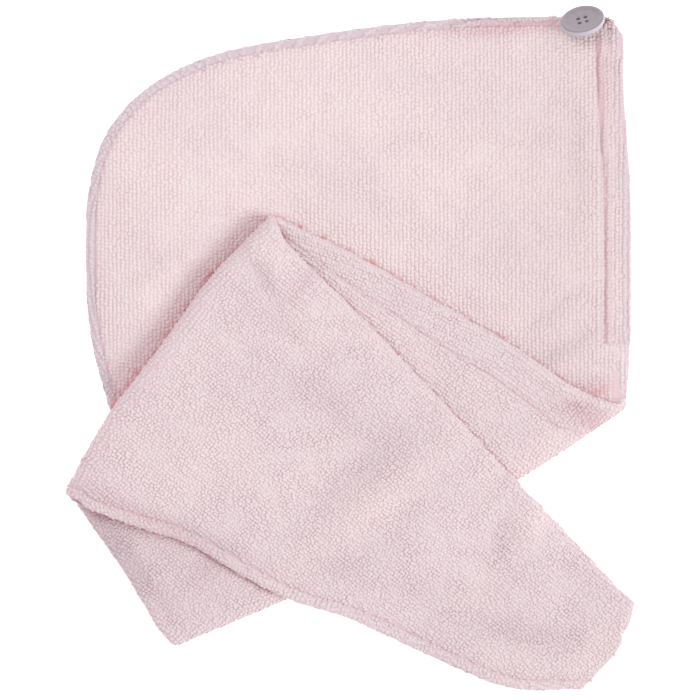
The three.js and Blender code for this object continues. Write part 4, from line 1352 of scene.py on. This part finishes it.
def map_range(tree, value, low, high, start=0, end=1, kind="LINEAR"):
    inputs = {"Value": value, "From Min": low, "From Max": high, "To Min": start, "To Max": end}
    return add_node(tree, "MapRange", inputs, interpolation_type=kind)["Result"]


def mix_colours(tree, factor, first, second, blend="MIX"):
    inputs = {"Factor": factor, "A": first, "B": second}
    return add_node(tree, "Mix", inputs, data_type="RGBA", blend_type=blend)["Result"]


def srgb(r, g, b):
    def one(v):
        v /= 255
        return v / 12.92 if v <= 0.04045 else ((v + 0.055) / 1.055) ** 2.4

    return (one(r), one(g), one(b), 1)


WALE, COURSE = 0.001 * LOOP_PITCH
WAVER = 0.0007


# Rows of little terry loops on the flat cut: their height, the painted shade between them, and patches of
# tone
def terry_loops():
    tree = bpy.data.node_groups.new("terry loops", "ShaderNodeTree")
    new_socket = tree.interface.new_socket
    new_socket(name="Cut", in_out="INPUT", socket_type="NodeSocketVector")
    for label, value in (("Wale", WALE), ("Course", COURSE), ("Waver", WAVER), ("Fluff", 0.4)):
        new_socket(name=label, in_out="INPUT", socket_type="NodeSocketFloat").default_value = value
    for label in ("Height", "Between", "Patch"):
        new_socket(name=label, in_out="OUTPUT", socket_type="NodeSocketFloat")
    entry = tree.nodes.new("NodeGroupInput").outputs
    leave = tree.nodes.new("NodeGroupOutput")

    def noise_of(scale, detail, roughness):
        inputs = {"Vector": entry["Cut"], "Scale": scale, "Detail": detail, "Roughness": roughness}
        return add_node(tree, "TexNoise", inputs)

    warp = vector_of(tree, "SUBTRACT", {0: noise_of(260, 2, 0.5)["Color"], 1: (0.5, 0.5, 0.5)})
    warp = vector_of(tree, "SCALE", {0: warp, "Scale": entry["Waver"]})
    split = add_node(tree, "SeparateXYZ", {0: vector_of(tree, "ADD", {0: entry["Cut"], 1: warp})})
    wale = math_of(tree, "DIVIDE", split["X"], entry["Wale"])
    course = math_of(tree, "DIVIDE", split["Y"], entry["Course"])
    place = add_node(tree, "CombineXYZ", {"X": wale, "Y": course})[0]
    inputs = {"Vector": place, "Scale": 1, "Randomness": 0.42}
    cells = add_node(tree, "TexVoronoi", inputs, voronoi_dimensions="2D")
    each = add_node(tree, "SeparateColor", {0: cells["Color"]})[0]
    dome = math_of(tree, "MULTIPLY_ADD", cells["Distance"], -1.35, 1.0, clamp=True)
    loop = math_of(tree, "MULTIPLY", dome, math_of(tree, "MULTIPLY_ADD", each, 0.45, 0.55))
    fibre, tuft = noise_of(1500, 4, 0.65)["Fac"], noise_of(520, 2, 0.6)["Fac"]
    fluff = math_of(tree, "MULTIPLY_ADD", fibre, 0.45, math_of(tree, "MULTIPLY", tuft, 0.55))
    inputs = {"Factor": entry["Fluff"], "A": loop, "B": fluff}
    height = add_node(tree, "Mix", inputs, data_type="FLOAT")["Result"]
    between = map_range(tree, height, 0.12, 0.5, 1, 0, "SMOOTHSTEP")
    fill(tree, leave, {"Height": height, "Between": between, "Patch": noise_of(22, 3, 0.55)["Fac"]})
    return tree


def new_material(name):
    made = bpy.data.materials.new(name)
    made.use_nodes = True
    tree = made.node_tree
    tree.nodes.clear()
    shader = tree.nodes.new("ShaderNodeBsdfPrincipled")
    add_node(tree, "OutputMaterial", {"Surface": shader.outputs[0]})
    return made, tree, shader


def terry_material(name, tip, cool, deep):
    made, tree, shader = new_material(name)

    def value(label):
        return add_node(tree, "Attribute", attribute_name=label)["Fac"]

    cut = add_node(tree, "UVMap", uv_map="flat_cut")[0]
    inputs = {"Cut": cut, "Wale": WALE, "Course": COURSE, "Waver": WAVER, "Fluff": value("fluff")}
    loops = add_node(tree, "Group", inputs, node_tree=TERRY_LOOPS)
    tone = mix_colours(tree, map_range(tree, loops["Patch"], 0.38, 0.62), cool, tip)
    # Over the cloth's random tone lie painted reddened shade, painted grey shade with its painted highlights,
    # shade away from the light, and reddened shade under covering cloth
    for label, colour in (("blush", REDDENED_SHADE_PINK), ("lilac", GREYED_SHADE_LILAC), ("shade", SHADE), ("glow", GLOW)):
        tone = mix_colours(tree, value(label), tone, colour)
    # The deep colour darkens the low pile and the gaps between loops: painted shade between the loops
    depth = map_range(tree, value("pile"), 0.05, 0.85, 1, 0)
    between = math_of(tree, "MULTIPLY_ADD", loops["Between"], 0.3, depth)
    fill(tree, shader, {
        "Base Color": mix_colours(tree, between, tone, deep, "MULTIPLY"),
        "Roughness": 0.95,
        "Sheen Weight": 0.2,
        "Sheen Roughness": 0.5,
        "Specular IOR Level": 0.2,
        "Normal": add_node(tree, "Bump", {"Strength": 0.6, "Distance": 0.0009, "Height": loops["Height"]})[0],
    })
    return made


def plain_material(name, colour, dark, roughness, scale, strength, distance, specular):
    made, tree, shader = new_material(name)
    place = add_node(tree, "TexCoord")["Object"]
    grain = add_node(tree, "TexNoise", {"Vector": place, "Scale": scale, "Detail": 4})["Fac"]
    fill(tree, shader, {
        "Base Color": mix_colours(tree, grain, dark, colour),
        "Roughness": map_range(tree, grain, 0, 1, roughness - 0.08, roughness + 0.08),
        "Specular IOR Level": specular,
        "Normal": add_node(tree, "Bump", {"Strength": strength, "Distance": distance, "Height": grain})[0],
    })
    return made


TERRY_LOOPS = terry_loops()
# Colours of painted shade: reddened in folds and grooves, grey on edges and outer storeys, mauve grey away
# from the light, reddened under covering cloth
REDDENED_SHADE_PINK = srgb(226, 186, 194)
GREYED_SHADE_LILAC = srgb(226, 214, 221)
GLOW = srgb(238, 184, 188)
SHADE = srgb(186, 166, 176)
TERRY = terry_material("pink terry", srgb(250, 235, 235), srgb(245, 230, 232), (0.9, 0.83, 0.86, 1))
HEM_TERRY = terry_material("pink terry hem", srgb(238, 216, 221), srgb(234, 214, 222), (0.86, 0.74, 0.77, 1))

SMOOTH_RESIN = (0.34, 260, 0.05, 0.0004, 0.5)
MATT_THREAD = (0.85, 2600, 0.5, 0.0002, 0.2)
RESIN = plain_material("grey mauve resin", srgb(168, 159, 167), srgb(154, 144, 153), *SMOOTH_RESIN)
# A paler copy of the resin for the button's side wall: painted highlight
RESIN_LIT_EDGE = plain_material("resin painted edge highlight", srgb(214, 209, 218), srgb(200, 194, 204), *SMOOTH_RESIN)
THREAD = plain_material("brown mauve thread", srgb(150, 124, 120), srgb(116, 90, 86), *MATT_THREAD)
for piece, slot, made in [
    (button, "button", RESIN),
    (thread, "thread", THREAD),
    *((piece, "terry", TERRY) for piece in (upper_panel, lower_panel, *LOOPS)),
    (hem_upper, "hem", HEM_TERRY),
    (hem_lower, "hem", HEM_TERRY),
]:
    piece.data.materials.append(made)
    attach(piece, "root")
button.data.materials.append(RESIN_LIT_EDGE)

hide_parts("upper_panel")
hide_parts("lower_panel")
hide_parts("rim_hem_upper")
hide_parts("rim_hem_lower")
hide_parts("button")
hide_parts("button_thread")

# ---- floor, light and camera
deselect()
bpy.ops.mesh.primitive_plane_add(size=4, location=(0, 0, -0.0002))
floor = bpy.context.object
floor.name = "floor"
paper = bpy.data.materials.new("floor paper")
paper.use_nodes = True
WHITE = (1, 1, 1, 1)
fill(paper.node_tree, paper.node_tree.nodes["Principled BSDF"], {
    "Base Color": WHITE, "Roughness": 0.9, "Emission Color": WHITE, "Emission Strength": 0.42,
})
floor.data.materials.append(paper)
deselect()

world = bpy.data.worlds.new("studio")
bpy.context.scene.world = world
world.use_nodes = True
fill(world.node_tree, world.node_tree.nodes["Background"], {"Color": (1, 0.88, 0.92, 1), "Strength": 0.66})


def soft_box(name, place, towards, size, power):
    lamp = bpy.data.lights.new(name, "AREA")
    lamp.shape = "DISK"
    lamp.size = size
    lamp.energy = power
    lamp.color = (0.86, 1.0, 0.95)
    holder = bpy.data.objects.new(name, lamp)
    holder.location = place
    holder.rotation_mode = "QUATERNION"
    holder.rotation_quaternion = (Vector(towards) - Vector(place)).to_track_quat("-Z", "Y")
    bpy.context.scene.collection.objects.link(holder)


soft_box("key", (3.3, -0.8, 3.2), (0, 0, 0), 2.0, 90)
soft_box("overhead", (-0.45, 0.55, 0.9), (-0.1, 0.1, 0), 0.6, 2.5)

FRAME_SPAN = 0.3423
CAMERA_HEIGHT = 2.4
eye = bpy.data.cameras.new("camera")
eye.sensor_width = 36
eye.lens = 36 * CAMERA_HEIGHT / FRAME_SPAN
camera = bpy.data.objects.new("camera", eye)
camera.location = (-0.0005, -0.001, CAMERA_HEIGHT)
bpy.context.scene.collection.objects.link(camera)
bpy.context.scene.camera = camera
bpy.context.scene.view_settings.view_transform = "Standard"
